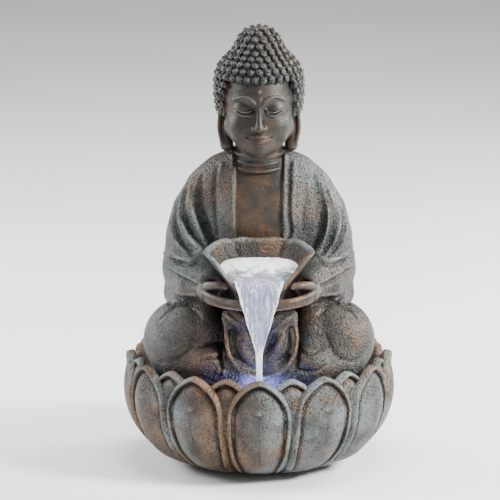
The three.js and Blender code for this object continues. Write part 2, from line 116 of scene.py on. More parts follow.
def curve(points, count=24):
    """A smooth run of points through the given ones (Catmull-Rom), all columns alike."""
    p = np.array(points, float)
    p = np.vstack([2 * p[0] - p[1], p, 2 * p[-1] - p[-2]])
    t = np.linspace(0, len(p) - 3 - 1e-6, count)
    i = t.astype(int)
    f = (t - i)[:, None]
    a, b, c, d = p[i], p[i + 1], p[i + 2], p[i + 3]
    return 0.5 * (2 * b + (c - a) * f + (2 * a - 5 * b + 4 * c - d) * f**2 + (3 * b - a - 3 * c + d) * f**3)


class Clay:
    """A block of signed distances in millimetres, negative inside the form."""

    FAR = 40.0

    def __init__(self, low, high, step):
        self.low, self.step = np.array(low, float), step
        self.count = np.ceil((np.array(high, float) - self.low) / step).astype(int) + 1
        self.d = np.full(self.count, self.FAR, np.float32)
        self.axes = [(self.low[i] + step * np.arange(self.count[i])).astype(np.float32) for i in range(3)]

    def window(self, low, high):
        first = np.clip(((np.array(low) - self.low) / self.step).astype(int), 0, self.count - 1)
        last = np.clip(((np.array(high) - self.low) / self.step).astype(int) + 2, 1, self.count)
        part = tuple(slice(a, b) for a, b in zip(first, last))
        x, y, z = (axis[s] for axis, s in zip(self.axes, part))
        return part, x[:, None, None], y[None, :, None], z[None, None, :]

    def merge(self, shape, blend=0.0):
        distance, low, high = shape
        part, x, y, z = self.window(np.array(low) - blend - 3, np.array(high) + blend + 3)
        self.d[part] = smooth_min(self.d[part], distance(x, y, z).astype(np.float32), blend)

    def carve(self, shape, blend=0.0):
        distance, low, high = shape
        part, x, y, z = self.window(np.array(low) - blend - 2, np.array(high) + blend + 2)
        self.d[part] = -smooth_min(-self.d[part], distance(x, y, z).astype(np.float32), blend)

    def swell(self, amount, low, high):
        """Moves the surface outwards by amount(x, y, z) in a region."""
        part, x, y, z = self.window(low, high)
        self.d[part] -= amount(x, y, z).astype(np.float32)

    def surface_y(self, x, z, side=-1):
        """Where (x, z) meets the surface from the front (side -1) or the back (+1), and if it does."""
        i = np.clip(((x - self.low[0]) / self.step).round().astype(int), 0, self.count[0] - 1)
        k = np.clip(((z - self.low[2]) / self.step).round().astype(int), 0, self.count[2] - 1)
        inside = self.d[i, :, k] < 0
        if side < 0:
            j = inside.argmax(1)
        else:
            j = self.count[1] - 1 - inside[:, ::-1].argmax(1)
        return self.low[1] + self.step * j, inside.any(1)

    def stroke(self, points, radius, sign, blend=2.0, side=-1, lift=0.0, taper=True):
        """A ridge (+1) or a groove (-1) along (x, z) points laid on the surface."""
        flat = curve(points, 26)
        y, met = self.surface_y(flat[:, 0], flat[:, 1], side)
        flat, y = flat[met], y[met]
        y = np.convolve(np.pad(y, 2, mode="edge"), np.ones(5) / 5, mode="valid") + side * lift
        path = np.column_stack([flat[:, 0], y, flat[:, 1]])
        t = np.linspace(0, 1, len(path))
        size = radius * (np.sin(np.pi * np.clip(t, 0.04, 0.96)) ** 0.6 if taper else np.ones(len(t)))
        form = tube(path, size)
        if sign > 0:
            self.merge(form, blend)
        else:
            self.carve(form, blend)


def ball(center, radius):
    c = np.array(center, float)

    def distance(x, y, z):
        return np.sqrt((x - c[0]) ** 2 + (y - c[1]) ** 2 + (z - c[2]) ** 2) - radius

    return distance, c - radius, c + radius


def ellipsoid(center, radii, turn=0.0, tilt=0.0):
    """Turned about Z, then tilted about X, in degrees."""
    c, r = np.array(center, float), np.array(radii, float)
    ct, st = math.cos(math.radians(turn)), math.sin(math.radians(turn))
    ci, si = math.cos(math.radians(tilt)), math.sin(math.radians(tilt))

    def distance(x, y, z):
        x, y, z = x - c[0], y - c[1], z - c[2]
        y, z = ci * y + si * z, -si * y + ci * z
        x, y = ct * x + st * y, -st * x + ct * y
        k0 = np.sqrt((x / r[0]) ** 2 + (y / r[1]) ** 2 + (z / r[2]) ** 2)
        k1 = np.sqrt((x / r[0] ** 2) ** 2 + (y / r[1] ** 2) ** 2 + (z / r[2] ** 2) ** 2)
        return k0 * (k0 - 1) / np.maximum(k1, 1e-4)

    reach = r.max() if turn or tilt else r
    return distance, c - reach, c + reach


def tube(path, radii):
    """Round limb through points, its radius changing from point to point."""
    p, r = np.array(path, float), np.broadcast_to(np.array(radii, float), len(path))

    def distance(x, y, z):
        best = None
        for a, b, ra, rb in zip(p[:-1], p[1:], r[:-1], r[1:]):
            v = b - a
            t = ((x - a[0]) * v[0] + (y - a[1]) * v[1] + (z - a[2]) * v[2]) / max(v @ v, 1e-9)
            t = np.clip(t, 0, 1)
            dx, dy, dz = x - a[0] - t * v[0], y - a[1] - t * v[1], z - a[2] - t * v[2]
            gap = np.sqrt(dx**2 + dy**2 + dz**2) - (ra + (rb - ra) * t)
            best = gap if best is None else np.minimum(best, gap)
        return best

    return distance, (p - r[:, None]).min(0), (p + r[:, None]).max(0)


def loft(stations):
    """Upright form through (z, half width, half depth, centre y) stations, with a round top and bottom."""
    s = curve(stations, 60)
    z_all, a_all, b_all, c_all = s.T

    def distance(x, y, z):
        a, b, c = (np.interp(z, z_all, column) for column in (a_all, b_all, c_all))
        px, py = x / a, (y - c) / b
        k0 = np.sqrt(px**2 + py**2)
        k1 = np.sqrt((px / a) ** 2 + (py / b) ** 2)
        side = k0 * (k0 - 1) / np.maximum(k1, 1e-4)
        side = np.where(k0 < 0.05, -np.minimum(a, b), side)
        return np.maximum(side, np.maximum(z_all[0] - z, z - z_all[-1]))

    reach = [a_all.max(), b_all.max()]
    low = [-reach[0], c_all.min() - reach[1], z_all[0]]
    high = [reach[0], c_all.max() + reach[1], z_all[-1]]
    return distance, np.array(low), np.array(high)


def mirrored(shape):
    """The same form on the other side of the X = 0 plane."""
    distance, low, high = shape
    flip = np.array([-1, 1, 1])
    a, b = low * flip, high * flip
    return (lambda x, y, z: distance(-x, y, z)), np.minimum(a, b), np.maximum(a, b)


def sided(side, points):
    """The same points on the right (side 1) or mirrored to the left (side -1)."""
    return [(side * x, *rest) for x, *rest in points]


# ---- Meshes ----

def mesh_object(name, points_mm, faces):
    mesh = bpy.data.meshes.new(name)
    mesh.from_pydata([tuple(p) for p in np.asarray(points_mm) * MM], [], faces)
    mesh.validate()
    mesh.polygons.foreach_set("use_smooth", np.ones(len(mesh.polygons), bool))
    obj = bpy.data.objects.new(name, mesh)
    bpy.context.scene.collection.objects.link(obj)
    return obj


def skin(name, clay, field=None):
    """The surface of a clay field as one closed mesh; loose crumbs are dropped."""
    d = clay.d if field is None else field
    reach = 3 * clay.step
    d = np.pad(np.clip(d, -reach, reach), 1, constant_values=reach)
    grid = openvdb.FloatGrid(reach)
    grid.copyFromArray(d)
    points, _, quads = grid.convertToPolygons(isovalue=0.0, adaptivity=0.0)
    points = (points.astype(float) - 1) * clay.step + clay.low
    points, quads = biggest_part(points, quads)
    a, b, c = (points[quads[:, i]] for i in (0, 1, 2))
    if np.einsum("ij,ij->i", a, np.cross(b, c)).sum() < 0:
        quads = quads[:, ::-1]
    return mesh_object(name, points, quads.tolist())


def biggest_part(points, quads):
    label = np.arange(len(points))
    while True:
        low = label[quads].min(1)
        new = label.copy()
        np.minimum.at(new, quads.ravel(), np.repeat(low, 4))
        new = new[new]
        if (new == label).all():
            break
        label = new
    face_label = label[quads[:, 0]]
    names, sizes = np.unique(face_label, return_counts=True)
    quads = quads[face_label == names[sizes.argmax()]]
    used, flat = np.unique(quads, return_inverse=True)
    return points[used], flat.reshape(-1, 4)


def thin(obj, triangles):
    """Joins the flattest faces until about the given number of triangles is left."""
    now = sum(len(face.vertices) - 2 for face in obj.data.polygons)
    modifier = obj.modifiers.new("thin", "DECIMATE")
    modifier.ratio = min(1.0, triangles / now)
    thinned = bpy.data.meshes.new_from_object(obj.evaluated_get(bpy.context.evaluated_depsgraph_get()))
    obj.modifiers.clear()
    obj.data = thinned
    obj.data.polygons.foreach_set("use_smooth", np.ones(len(obj.data.polygons), bool))


def mark_wear(obj, rounds=10, scale=1.6):
    """Stores how far each point stands out (+) or lies in a hollow (-) as the attribute "wear"."""
    mesh = obj.data
    n = len(mesh.vertices)
    co = np.zeros(n * 3)
    mesh.vertices.foreach_get("co", co)
    co = co.reshape(-1, 3)
    normal = np.zeros(n * 3)
    mesh.vertex_normals.foreach_get("vector", normal)
    edges = np.zeros(len(mesh.edges) * 2, int)
    mesh.edges.foreach_get("vertices", edges)
    a, b = edges.reshape(-1, 2).T
    degree = np.bincount(a, minlength=n) + np.bincount(b, minlength=n)
    degree = np.maximum(degree, 1)[:, None]

    def averaged(values):
        total = np.zeros_like(values)
        for i in range(values.shape[1]):
            total[:, i] = np.bincount(a, values[b, i], n) + np.bincount(b, values[a, i], n)
        return total / degree

    soft = co.copy()
    for _ in range(rounds):
        soft = 0.5 * soft + 0.5 * averaged(soft)
    stand = ((co - soft) * normal.reshape(-1, 3)).sum(1)[:, None] / (scale * MM)
    stand = averaged(averaged(stand))[:, 0]
    layer = mesh.attributes.get("wear") or mesh.attributes.new("wear", "FLOAT", "POINT")
    layer.data.foreach_set("value", np.clip(stand, -1, 1).astype(np.float32))


def mark(obj, name, values):
    layer = obj.data.attributes.new(name, "FLOAT", "POINT")
    layer.data.foreach_set("value", np.asarray(values, np.float32))


def points_of(obj):
    co = np.zeros(len(obj.data.vertices) * 3)
    obj.data.vertices.foreach_get("co", co)
    return co.reshape(-1, 3) / MM


def grid_faces(rows, columns, closed=False, first=0, flip=False):
    """Quads of a rows x columns sheet of points; closed joins the last column to the first."""
    faces = []
    for i in range(rows - 1):
        for j in range(columns if closed else columns - 1):
            k = (j + 1) % columns
            here = first + i * columns
            above = here + columns
            face = [here + j, here + k, above + k, above + j]
            faces.append(face[::-1] if flip else face)
    return faces


def flip_outwards(obj):
    """Turns every face so that its front looks out of the form."""
    b = bmesh.new()
    b.from_mesh(obj.data)
    bmesh.ops.recalc_face_normals(b, faces=b.faces)
    b.to_mesh(obj.data)
    b.free()


def ring_solid(name, rings, capped):
    """A closed form through rings of points: its ends are capped, or its last ring joins its first."""
    n = len(rings[0])
    last = (len(rings) - 1) * n
    faces = grid_faces(len(rings), n, closed=True)
    if capped:
        faces.append(list(range(n))[::-1])
        faces.append([last + j for j in range(n)])
    else:
        faces += [[last + j, last + (j + 1) % n, (j + 1) % n, j] for j in range(n)]
    obj = mesh_object(name, np.vstack(rings), faces)
    flip_outwards(obj)
    return obj


# ---- Materials ----

class Nodes:
    """Short names for making a node material."""

    def __init__(self, name):
        self.material = bpy.data.materials.new(name)
        self.material.use_nodes = True
        self.tree = self.material.node_tree
        self.tree.nodes.clear()
        self.output = self.add("ShaderNodeOutputMaterial")
        self.shader = self.add("ShaderNodeBsdfPrincipled")
        self.link(self.shader.outputs[0], self.output.inputs[0])
        self.place = self.add("ShaderNodeTexCoord").outputs["Object"]

    def add(self, kind, **settings):
        made = self.tree.nodes.new(kind)
        for key, value in settings.items():
            setattr(made, key, value)
        return made

    def link(self, a, b):
        self.tree.links.new(a, b)

    def put(self, socket, value):
        if isinstance(value, bpy.types.NodeSocket):
            self.link(value, socket)
        else:
            socket.default_value = value

    def noise(self, scale, detail=4.0, rough=0.55, stretch=None, distortion=0.0):
        place = self.place
        if stretch:
            mapping = self.add("ShaderNodeMapping")
            self.link(place, mapping.inputs["Vector"])
            mapping.inputs["Scale"].default_value = stretch
            place = mapping.outputs[0]
        made = self.add("ShaderNodeTexNoise")
        self.link(place, made.inputs["Vector"])
        made.inputs["Scale"].default_value = scale
        made.inputs["Detail"].default_value = detail
        made.inputs["Roughness"].default_value = rough
        made.inputs["Distortion"].default_value = distortion
        return made.outputs["Fac"]

    def cells(self, scale):
        made = self.add("ShaderNodeTexVoronoi")
        self.link(self.place, made.inputs["Vector"])
        made.inputs["Scale"].default_value = scale
        return made.outputs["Distance"]

    def attribute(self, name):
        return self.add("ShaderNodeAttribute", attribute_name=name).outputs["Fac"]

    def span(self, value, low, high, to_low=0.0, to_high=1.0):
        made = self.add("ShaderNodeMapRange", interpolation_type="SMOOTHSTEP")
        self.put(made.inputs["Value"], value)
        for key, number in (("From Min", low), ("From Max", high), ("To Min", to_low), ("To Max", to_high)):
            made.inputs[key].default_value = number
        return made.outputs["Result"]

    def math(self, operation, a, b=0.0):
        made = self.add("ShaderNodeMath", operation=operation)
        self.put(made.inputs[0], a)
        self.put(made.inputs[1], b)
        return made.outputs[0]

    def mix(self, factor, a, b):
        made = self.add("ShaderNodeMix", data_type="RGBA")
        self.put(made.inputs["Factor"], factor)
        for socket, value in ((made.inputs[6], a), (made.inputs[7], b)):
            if isinstance(value, tuple):
                value = (*value, 1.0)
            self.put(socket, value)
        return made.outputs[2]

    def bump(self, height, strength, distance, below=None):
        made = self.add("ShaderNodeBump")
        self.put(made.inputs["Height"], height)
        made.inputs["Strength"].default_value = strength
        made.inputs["Distance"].default_value = distance
        if below is not None:
            self.link(below, made.inputs["Normal"])
        return made.outputs["Normal"]

    def set(self, **inputs):
        for key, value in inputs.items():
            if isinstance(value, tuple) and len(value) == 3:
                value = (*value, 1.0)
            self.put(self.shader.inputs[key.replace("_", " ")], value)


def patina(name, grain=1.0, copper=0.5, green=0.5, rough=0.34, worn=0.7, tone=1.0):
    """Cold-cast bronze look: copper brown under a grey-green wash, dark in hollows and rubbed on edges."""
    n = Nodes(name)
    wear = n.attribute("wear")
    broad = n.noise(10, 3, 0.5)
    middle = n.noise(42, 4, 0.6)
    fine = n.noise(520, 2, 0.6)
    pits = n.cells(430)
    def shade(*color):
        return tuple(c * tone for c in color)

    brown = n.mix(n.span(middle, 0.35, 0.7), shade(0.017, 0.0130, 0.010), shade(0.052, 0.033, 0.020))
    wash = n.mix(n.span(middle, 0.3, 0.7), shade(0.034, 0.044, 0.044), shade(0.100, 0.124, 0.120))
    patches = n.span(broad, 0.36, 0.64, 0.10, 0.75)
    spread = n.math("ADD", patches, n.span(fine, 0.40, 0.60, -0.22 * grain, 0.22 * grain))
    spread = n.math("MULTIPLY", n.span(spread, 0.0, 0.95), green)
    color = n.mix(spread, brown, wash)
    rust = n.math("MULTIPLY", n.span(n.noise(24, 4, 0.6), 0.49, 0.66), n.span(fine, 0.44, 0.62, 0.2, 1.0))
    color = n.mix(n.math("MULTIPLY", rust, copper), color, (0.175, 0.078, 0.034))
    edge = n.math("MULTIPLY", n.span(wear, 0.08, 0.42), n.span(middle, 0.34, 0.6, 0.3, 1.0))
    edge_color = n.mix(n.span(broad, 0.44, 0.58), (0.21, 0.118, 0.066), (0.20, 0.245, 0.25))
    color = n.mix(n.math("MULTIPLY", edge, worn), color, edge_color)
    hollow = n.span(wear, -0.30, -0.02, 0.94, 0.0)
    color = n.mix(hollow, color, (0.006, 0.0055, 0.006))
    speckle = n.math("MULTIPLY", n.span(pits, 0.06, 0.34, 0.62, 0.0), grain)
    color = n.mix(speckle, color, (0.012, 0.011, 0.011))
    gloss = n.span(fine, 0.3, 0.7, rough + 0.08 * grain, rough + 0.16 + 0.10 * grain)
    relief = n.math("ADD", n.math("MULTIPLY", fine, 0.8), n.span(pits, 0.0, 0.45, 0.0, 0.9))
    normal = n.bump(relief, 0.08 + 0.85 * grain, 0.0020)
    n.set(Base_Color=color, Roughness=gloss, Normal=normal, Metallic=0.2)
    n.shader.inputs["Specular IOR Level"].default_value = 0.5
    return n.material


def moulded(name, base, worn, rough=0.5, grain=700, metallic=0.0):
    """Moulded plastic, rubber or metal with a fine surface grain and slight colour change."""
    n = Nodes(name)
    color = n.mix(n.span(n.noise(60, 4), 0.35, 0.7), base, worn)
    fine = n.noise(grain, 2, 0.6)
    n.set(Base_Color=color, Roughness=n.span(fine, 0.3, 0.7, rough - 0.07, rough + 0.07), Metallic=metallic)
    n.set(Normal=n.bump(fine, 0.25, 0.0002))
    return n.material


def sponge_material():
    n = Nodes("filter_foam")
    cells = n.cells(900)
    color = n.mix(n.span(cells, 0.1, 0.5), (0.006, 0.007, 0.008), (0.045, 0.05, 0.058))
    n.set(Base_Color=color, Roughness=0.95)
    n.set(Normal=n.bump(cells, 0.9, 0.001))
    return n.material


def clear_material(name, color, rough, alpha, glow=None):
    n = Nodes(name)
    tint = n.mix(n.span(n.noise(90, 3), 0.35, 0.7), color, tuple(c * 0.86 for c in color))
    n.set(Base_Color=tint, Roughness=n.span(n.noise(300, 2), 0.3, 0.7, rough, rough + 0.08), Alpha=alpha)
    if glow:
        n.set(Emission_Color=(*glow[0], 1.0), Emission_Strength=glow[1])
    return n.material


def water_material(name, low, high, alpha_low, alpha_high, stretch=None, scale=120, glow=0.0):
    """Foamy, aerated water: white streaks or froth over clear blue-grey water, brightened by a painted glow
    that makes the water emit its own colour.
    """
    n = Nodes(name)
    foam = n.noise(scale, 5, 0.65, stretch, 0.4)
    thick = n.attribute("foam")
    froth = n.math("ADD", n.span(foam, 0.38, 0.66, 0.0, 0.75), n.math("MULTIPLY", thick, 0.75))
    froth = n.span(froth, 0.1, 1.0)
    color = n.mix(froth, low, high)
    n.set(Base_Color=color, Alpha=n.span(froth, 0.0, 1.0, alpha_low, alpha_high))
    n.set(Roughness=n.span(froth, 0.0, 1.0, 0.08, 0.42), Normal=n.bump(foam, 0.35, 0.001))
    # painted light: the water glows with its own colour, though it is no lamp
    n.set(Emission_Color=color, Emission_Strength=glow)
    n.shader.inputs["IOR"].default_value = 1.33
    return n.material


# ---- Figure ----


def pair_merge(clay, shape, blend):
    clay.merge(shape, blend)
    clay.merge(mirrored(shape), blend)


def base_forms(clay):
    """Trunk, thighs, arms and lap, blended together."""
    clay.merge(loft([(44, 66, 62, 2), (60, 76, 70, 0), (84, 78, 70, 2), (96, 70, 62, 4)]))
    clay.merge(ellipsoid((0, 12, 102), (79, 60, 45)), 8)
    trunk = [(100, 60, 47, 9), (132, 54, 41, 9), (165, 50, 38, 9), (205, 54, 38, 8), (236, 60, 38, 8)]
    shoulders = [(250, 60, 36, 8), (261, 56, 32, 8), (269, 49, 28, 7), (275, 41, 25, 6), (280.5, 28, 21, 4)]
    clay.merge(loft(trunk + shoulders), 8)
    pair_merge(clay, tube([(28, 14, 112), (52, -12, 115), (66, -31, 117)], [38, 38, 36.5]), 6)
    pair_merge(clay, tube([(66, -44, 101), (44, -60, 99), (16, -66, 96)], [27, 20, 17]), 5)
    clay.merge(tube([(0, -30, 128), (0, -50, 108)], [36, 30]), 8)
    pair_merge(clay, tube([(46, 9, 242), (54, 7, 224), (59, 5, 203), (61, 1, 174)], [21, 23.5, 24, 24]), 6)
    pair_merge(clay, tube([(61, 0, 176), (55, -22, 172), (45, -41, 169)], [24, 20, 14.5]), 5)
    pair_merge(clay, tube([(68, 4, 152), (60, -20, 152), (47, -38, 156)], [17, 14, 10]), 7)


def robe_folds(clay):
    """Lapels, sleeve folds and hems, as grooves and ridges laid on the cloth."""
    panel = (lambda x, y, z: -2.2 * smooth_step(22.5 - np.abs(x), 0, 1.6) * smooth_step(z, 196, 204)
             * smooth_step(288 - z, 0, 8) * (y < 2))
    clay.swell(panel, (-26, -50, 194), (26, 4, 290))
    clay.stroke([(-23.5, 279), (-23, 250), (-22.5, 225), (-22, 200)], 1.5, 1, 1.2, taper=False)
    clay.stroke([(23.5, 279), (22.5, 250), (22, 228), (20.5, 216), (22.5, 204)], 1.8, 1, 1.2, taper=False)
    seam = [(27.5, 276), (27, 250), (26.5, 230), (28, 214), (25.5, 203)]
    clay.stroke(seam, 1.7, -1, 1.0, lift=0.6, taper=False)
    clay.stroke([(31, 274), (30.5, 250), (30, 232), (31.5, 216), (29, 203)], 1.6, 1, 1.4, taper=False)
    clay.stroke([(-33, 272), (-35, 250), (-35, 225), (-33, 202)], 1.5, 1, 2.5, taper=False)
    clay.stroke([(-38, 268), (-40, 245), (-39, 222), (-37, 204)], 1.6, -1, 2.5, lift=0.6)
    clay.stroke([(41, 262), (41, 240), (40, 220), (38, 202)], 1.7, -1, 2.5, lift=0.6)
    left = [
        ([(-51, 260), (-54, 238), (-48, 217), (-41, 200)], 5.0),
        ([(-62, 256), (-68, 234), (-61, 212), (-49, 196)], 3.4),
        ([(-72, 238), (-75, 218), (-68, 200), (-56, 189)], 3.0),
    ]
    right = [
        ([(50, 258), (55, 238), (54, 214), (46, 194)], 5.6),
        ([(60, 246), (66, 226), (63, 205), (53, 190)], 3.6),
        ([(71, 236), (75, 216), (70, 200), (60, 190)], 2.4),
    ]
    for path, radius in left + right:
        clay.stroke(path, radius, -1, 2.6, lift=radius * 0.12)
        out = [(x + math.copysign(radius * 1.5, x), z - 1) for x, z in path]
        clay.stroke(out, radius * 0.5, 1, 2.2, lift=-0.2)
    for side in (-1, 1):
        hems = [
            [(80, 190), (72, 188.5), (60, 189), (50, 193)],
            [(81, 180.5), (73, 178.5), (59, 174.5), (45, 171)],
            [(77, 159.5), (68, 158), (54, 161), (41, 167)],
        ]
        for path in hems:
            path = sided(side, path)
            clay.stroke(path, 2.0, 1, 1.8, lift=0.2)
            clay.stroke([(x, z - 3.2) for x, z in path], 2.4, -1, 1.3, lift=0.7)
        clay.stroke(sided(side, [(82, 150), (73, 152), (57, 153), (44, 150)]), 4.6, -1, 1.8, lift=1.0)
        clay.stroke(sided(side, [(66, 171), (57, 168), (47, 165)]), 1.4, -1, 1.4, lift=0.3)


def cuff_and_hand(clay):
    """Open sleeve ends, and hands round the foot of the bowl with the thumbs on its side."""
    opening = ball((39, -54, 168), 9.0)
    clay.carve(opening, 2)
    clay.carve(mirrored(opening), 2)
    hand = [(tube([(43, -42, 166), (47, -54, 166), (46, -64, 165)], [8.0, 8.0, 6.0]), 2)]
    thumb = curve([(47, -59, 170), (44.5, -69, 174.5), (37, -76, 176.5), (29.5, -79, 176.5)], 12)
    hand.append((tube(thumb, np.linspace(4.6, 3.2, 12)), 1.2))
    for row in range(2):
        z, front = 167.6 - 4.6 * row, -91.6 + 0.8 * row
        knuckles = [(48 - row, -62, z), (43, -77, z - 0.5), (29, front + 3, z - 2)]
        bend = [*knuckles, (13, front, z - 3.4), (3, front, z - 4)]
        hand.append((tube(curve(bend, 12), np.linspace(3.0, 2.4, 12)), 0.4))
    for shape, blend in hand:
        pair_merge(clay, shape, blend)
    clay.merge(ellipsoid((0, BOWL_Y + 5, 145), (33, 20, 15)), 6)
    for side in (-1, 1):
        clay.stroke(sided(side, [(30, 152), (19, 146), (9, 136), (5, 128)]), 1.6, -1, 1.2, lift=0.4)
        clay.stroke(sided(side, [(34, 147), (25, 140), (17, 131)]), 1.4, -1, 1.2, lift=0.3)


def lap_drape(clay):
    """The cloth that hangs between the shins as a scooped U, the strips beside it, and the feet."""
    clay.merge(ellipsoid((2.5, -53, 119), (31.5, 30, 27.5)), 1.5)
    clay.carve(ellipsoid((2.5, -97, 128), (26.5, 24, 30)), 1.2)
    rim = [(-27, -62, 148), (-29, -70, 132), (-26, -77, 114), (-16, -82, 101), (1, -83.5, 96), (19, -82, 100),
           (29.5, -78, 112), (33, -71, 128), (30, -62, 147)]
    clay.merge(tube(curve(rim, 44), 1.9), 3.4)
    clay.stroke([(-23, 146), (-24, 132), (-20, 116), (-10, 106), (2, 102)], 1.5, -1, 1.6, lift=0.3)
    clay.stroke([(-19, 145), (-15, 135), (-8, 126), (-2, 112)], 2.2, 1, 2.6, lift=-0.2)
    clay.stroke([(-14, 145), (-9, 135), (-2, 126), (3, 112)], 2.4, -1, 2.2, lift=0.5)
    clay.stroke([(20, 147), (20.5, 134), (17, 122), (9, 111)], 3.0, 1, 2.4, lift=-0.2)
    clay.stroke([(13, 147), (13.5, 134), (11, 124), (5, 115)], 2.4, -1, 1.8, lift=0.5)
    clay.stroke([(26, 145), (27.5, 130), (24, 115), (15, 105)], 1.8, -1, 1.6, lift=0.4)
    for side in (-1, 1):
        clay.merge(ellipsoid((side * 48, -41, 120), (19, 25, 31)), 3.0)
        clay.merge(ellipsoid((side * 46, -67, 104), (17, 13.5, 14)), 2.0)
        clay.stroke(sided(side, [(34.5, 150), (34.5, 128), (34, 110), (31, 96)]), 2.6, -1, 0.8, lift=0.2)
    for i in range(5):
        x = -31 - 5.4 * i
        clay.merge(ellipsoid((x, -79 + 1.0 * i, 99 + 1.0 * i), (2.9, 4.2, 3.8 - 0.25 * i)), 0.7)
    folds = [
        [(-29, 118), (-40, 121), (-56, 117)],
        [(-32, 110), (-42, 112), (-55, 108)],
        [(-36, 90), (-46, 93), (-58, 97)],
        [(31, 105), (40, 100.5), (52, 101), (62, 107)],
        [(32, 118), (44, 114.5), (56, 119)],
    ]
    for path in folds:
        clay.stroke(path, 1.7, -1, 0.8, lift=0.3)
    clay.stroke([(34, 112), (44, 107.5), (56, 111)], 1.5, 1, 1.6)
    clay.stroke([(-56, 132), (-62, 118), (-74, 108), (-86, 105)], 1.7, -1, 3.0, lift=0.6)
    clay.stroke([(58, 130), (66, 114), (78, 106), (88, 106)], 1.5, -1, 3.0, lift=0.5)
    for side in (-1, 1):
        clay.stroke(sided(side, [(90, 136), (78, 148), (62, 150), (50, 142)]), 2.0, -1, 1.4, lift=0.6)


def back_folds(clay):
    """Broad folds of the robe across the back and seat, from one shoulder to the other hip."""
    for i in range(5):
        x = -44 + 20 * i
        path = [(x - 6, 262 - abs(x) * 0.25), (x + 2, 225), (x + 6, 185), (x + 2, 150), (x - 4, 122)]
        clay.stroke(path, 2.4, -1, 4.0, side=1, lift=0.9)
    for side in (-1, 1):
        arm_crease = sided(side, [(52, 250), (50, 215), (48, 180), (50, 150)])
        clay.stroke(arm_crease, 5.0, -1, 3.0, side=1, lift=0.8)
        for z in (186, 168):
            hem = sided(side, [(84, z), (72, z - 4), (58, z - 2)])
            clay.stroke(hem, 1.9, 1, 2.0, side=1, taper=False)
    clay.stroke([(-62, 112), (-30, 104), (0, 102), (30, 104), (62, 112)], 2.2, -1, 3.0, side=1, lift=0.8)


def door_prism(grow):
    """The access door's outline, a rounded rectangle swept along Y."""
    half = (door_high - door_low)[[0, 2]] / 2
    mid_z = (door_high[2] + door_low[2]) / 2
    corner = 14.0

    def distance(x, y, z):
        px = np.abs(x) - (half[0] + grow - corner)
        pz = np.abs(z - mid_z) - (half[1] + grow - corner)
        outside = np.sqrt(np.maximum(px, 0) ** 2 + np.maximum(pz, 0) ** 2)
        flat = outside + np.minimum(np.maximum(px, pz), 0) - corner
        return np.maximum(flat, 30.0 - y)

    return distance, np.array([-36, 30, door_low[2] - 4]), np.array([36, 90, door_high[2] + 4])


def hollow_inside(clay):
    """The room for the pump, reached through the rear door."""
    room = loft([(40, 42, 38, 6), (90, 40, 34, 8), (130, 38, 30, 9), (185, 36, 29, 9), (205, 20, 16, 9)])
    clay.carve(room)


def sculpt_figure():
    clay = Clay((-109, -92, 43), (109, 80, 284), BODY_STEP)
    base_forms(clay)
    robe_folds(clay)
    lap_drape(clay)
    cuff_and_hand(clay)
    back_folds(clay)
    room_radii = [(BOWL_BASE - 0.6, 17.6), (158, 20.6), (168, 25.4), (180, 32)]
    clay.carve(loft([(z, r, r, BOWL_Y) for z, r in room_radii]))
    hollow_inside(clay)
    clay.carve(tube([(0, -20, 92), (0, -42, 96), (0, BOWL_Y, 108), (0, BOWL_Y, 150)], 8.0))
    whole = clay.d.copy()
    clay.carve(door_prism(GAP))
    body = skin("figure_body", clay)
    prism, low, high = door_prism(0)
    part, x, y, z = clay.window(low - 4, high + 4)
    spans = [axis[s] for axis, s in zip(clay.axes, part)]
    panel = Clay([span[0] for span in spans], [span[-1] for span in spans], BODY_STEP)
    field = np.maximum(whole[part], prism(x, y, z))
    field = np.maximum(field, -(ellipsoid((0, 56, door_high[2] - 14), (11, 9, 6))[0](x, y, z)))
    door = skin("access_door_panel", panel, field.astype(np.float32))
    return body, door


FIRST_ROW_Z = 350.8  # height of the row of curls over the forehead
ROW_SPACING = 6.3
CURL_SPACING = 7.3
CURL_RADIUS = 3.15


def hair_radius(z):
    """Half width of the hair at a height, without its curls."""
    cap = [(296, 28), (304, 31.5), (316, 34.6), (330, 36.8), (347, 36.8), (353, 35.6), (358, 33.0)]
    knot = [(363, 28.6), (367, 24.4), (371, 21.2), (376, 18.6), (381, 16.4), (385, 13.4)]
    return np.interp(z, *np.array([*cap, *knot, (388, 9.8), (389.4, 5.4)]).T)


def hairline(turn):
    """Height of the hair's lower edge, by angle from the front in radians."""
    turn = np.abs(turn)
    low = 349.4 - 36 * smooth_step(turn, 0.86, 1.12)
    return low - 13 * smooth_step(turn, 1.7, 2.3)


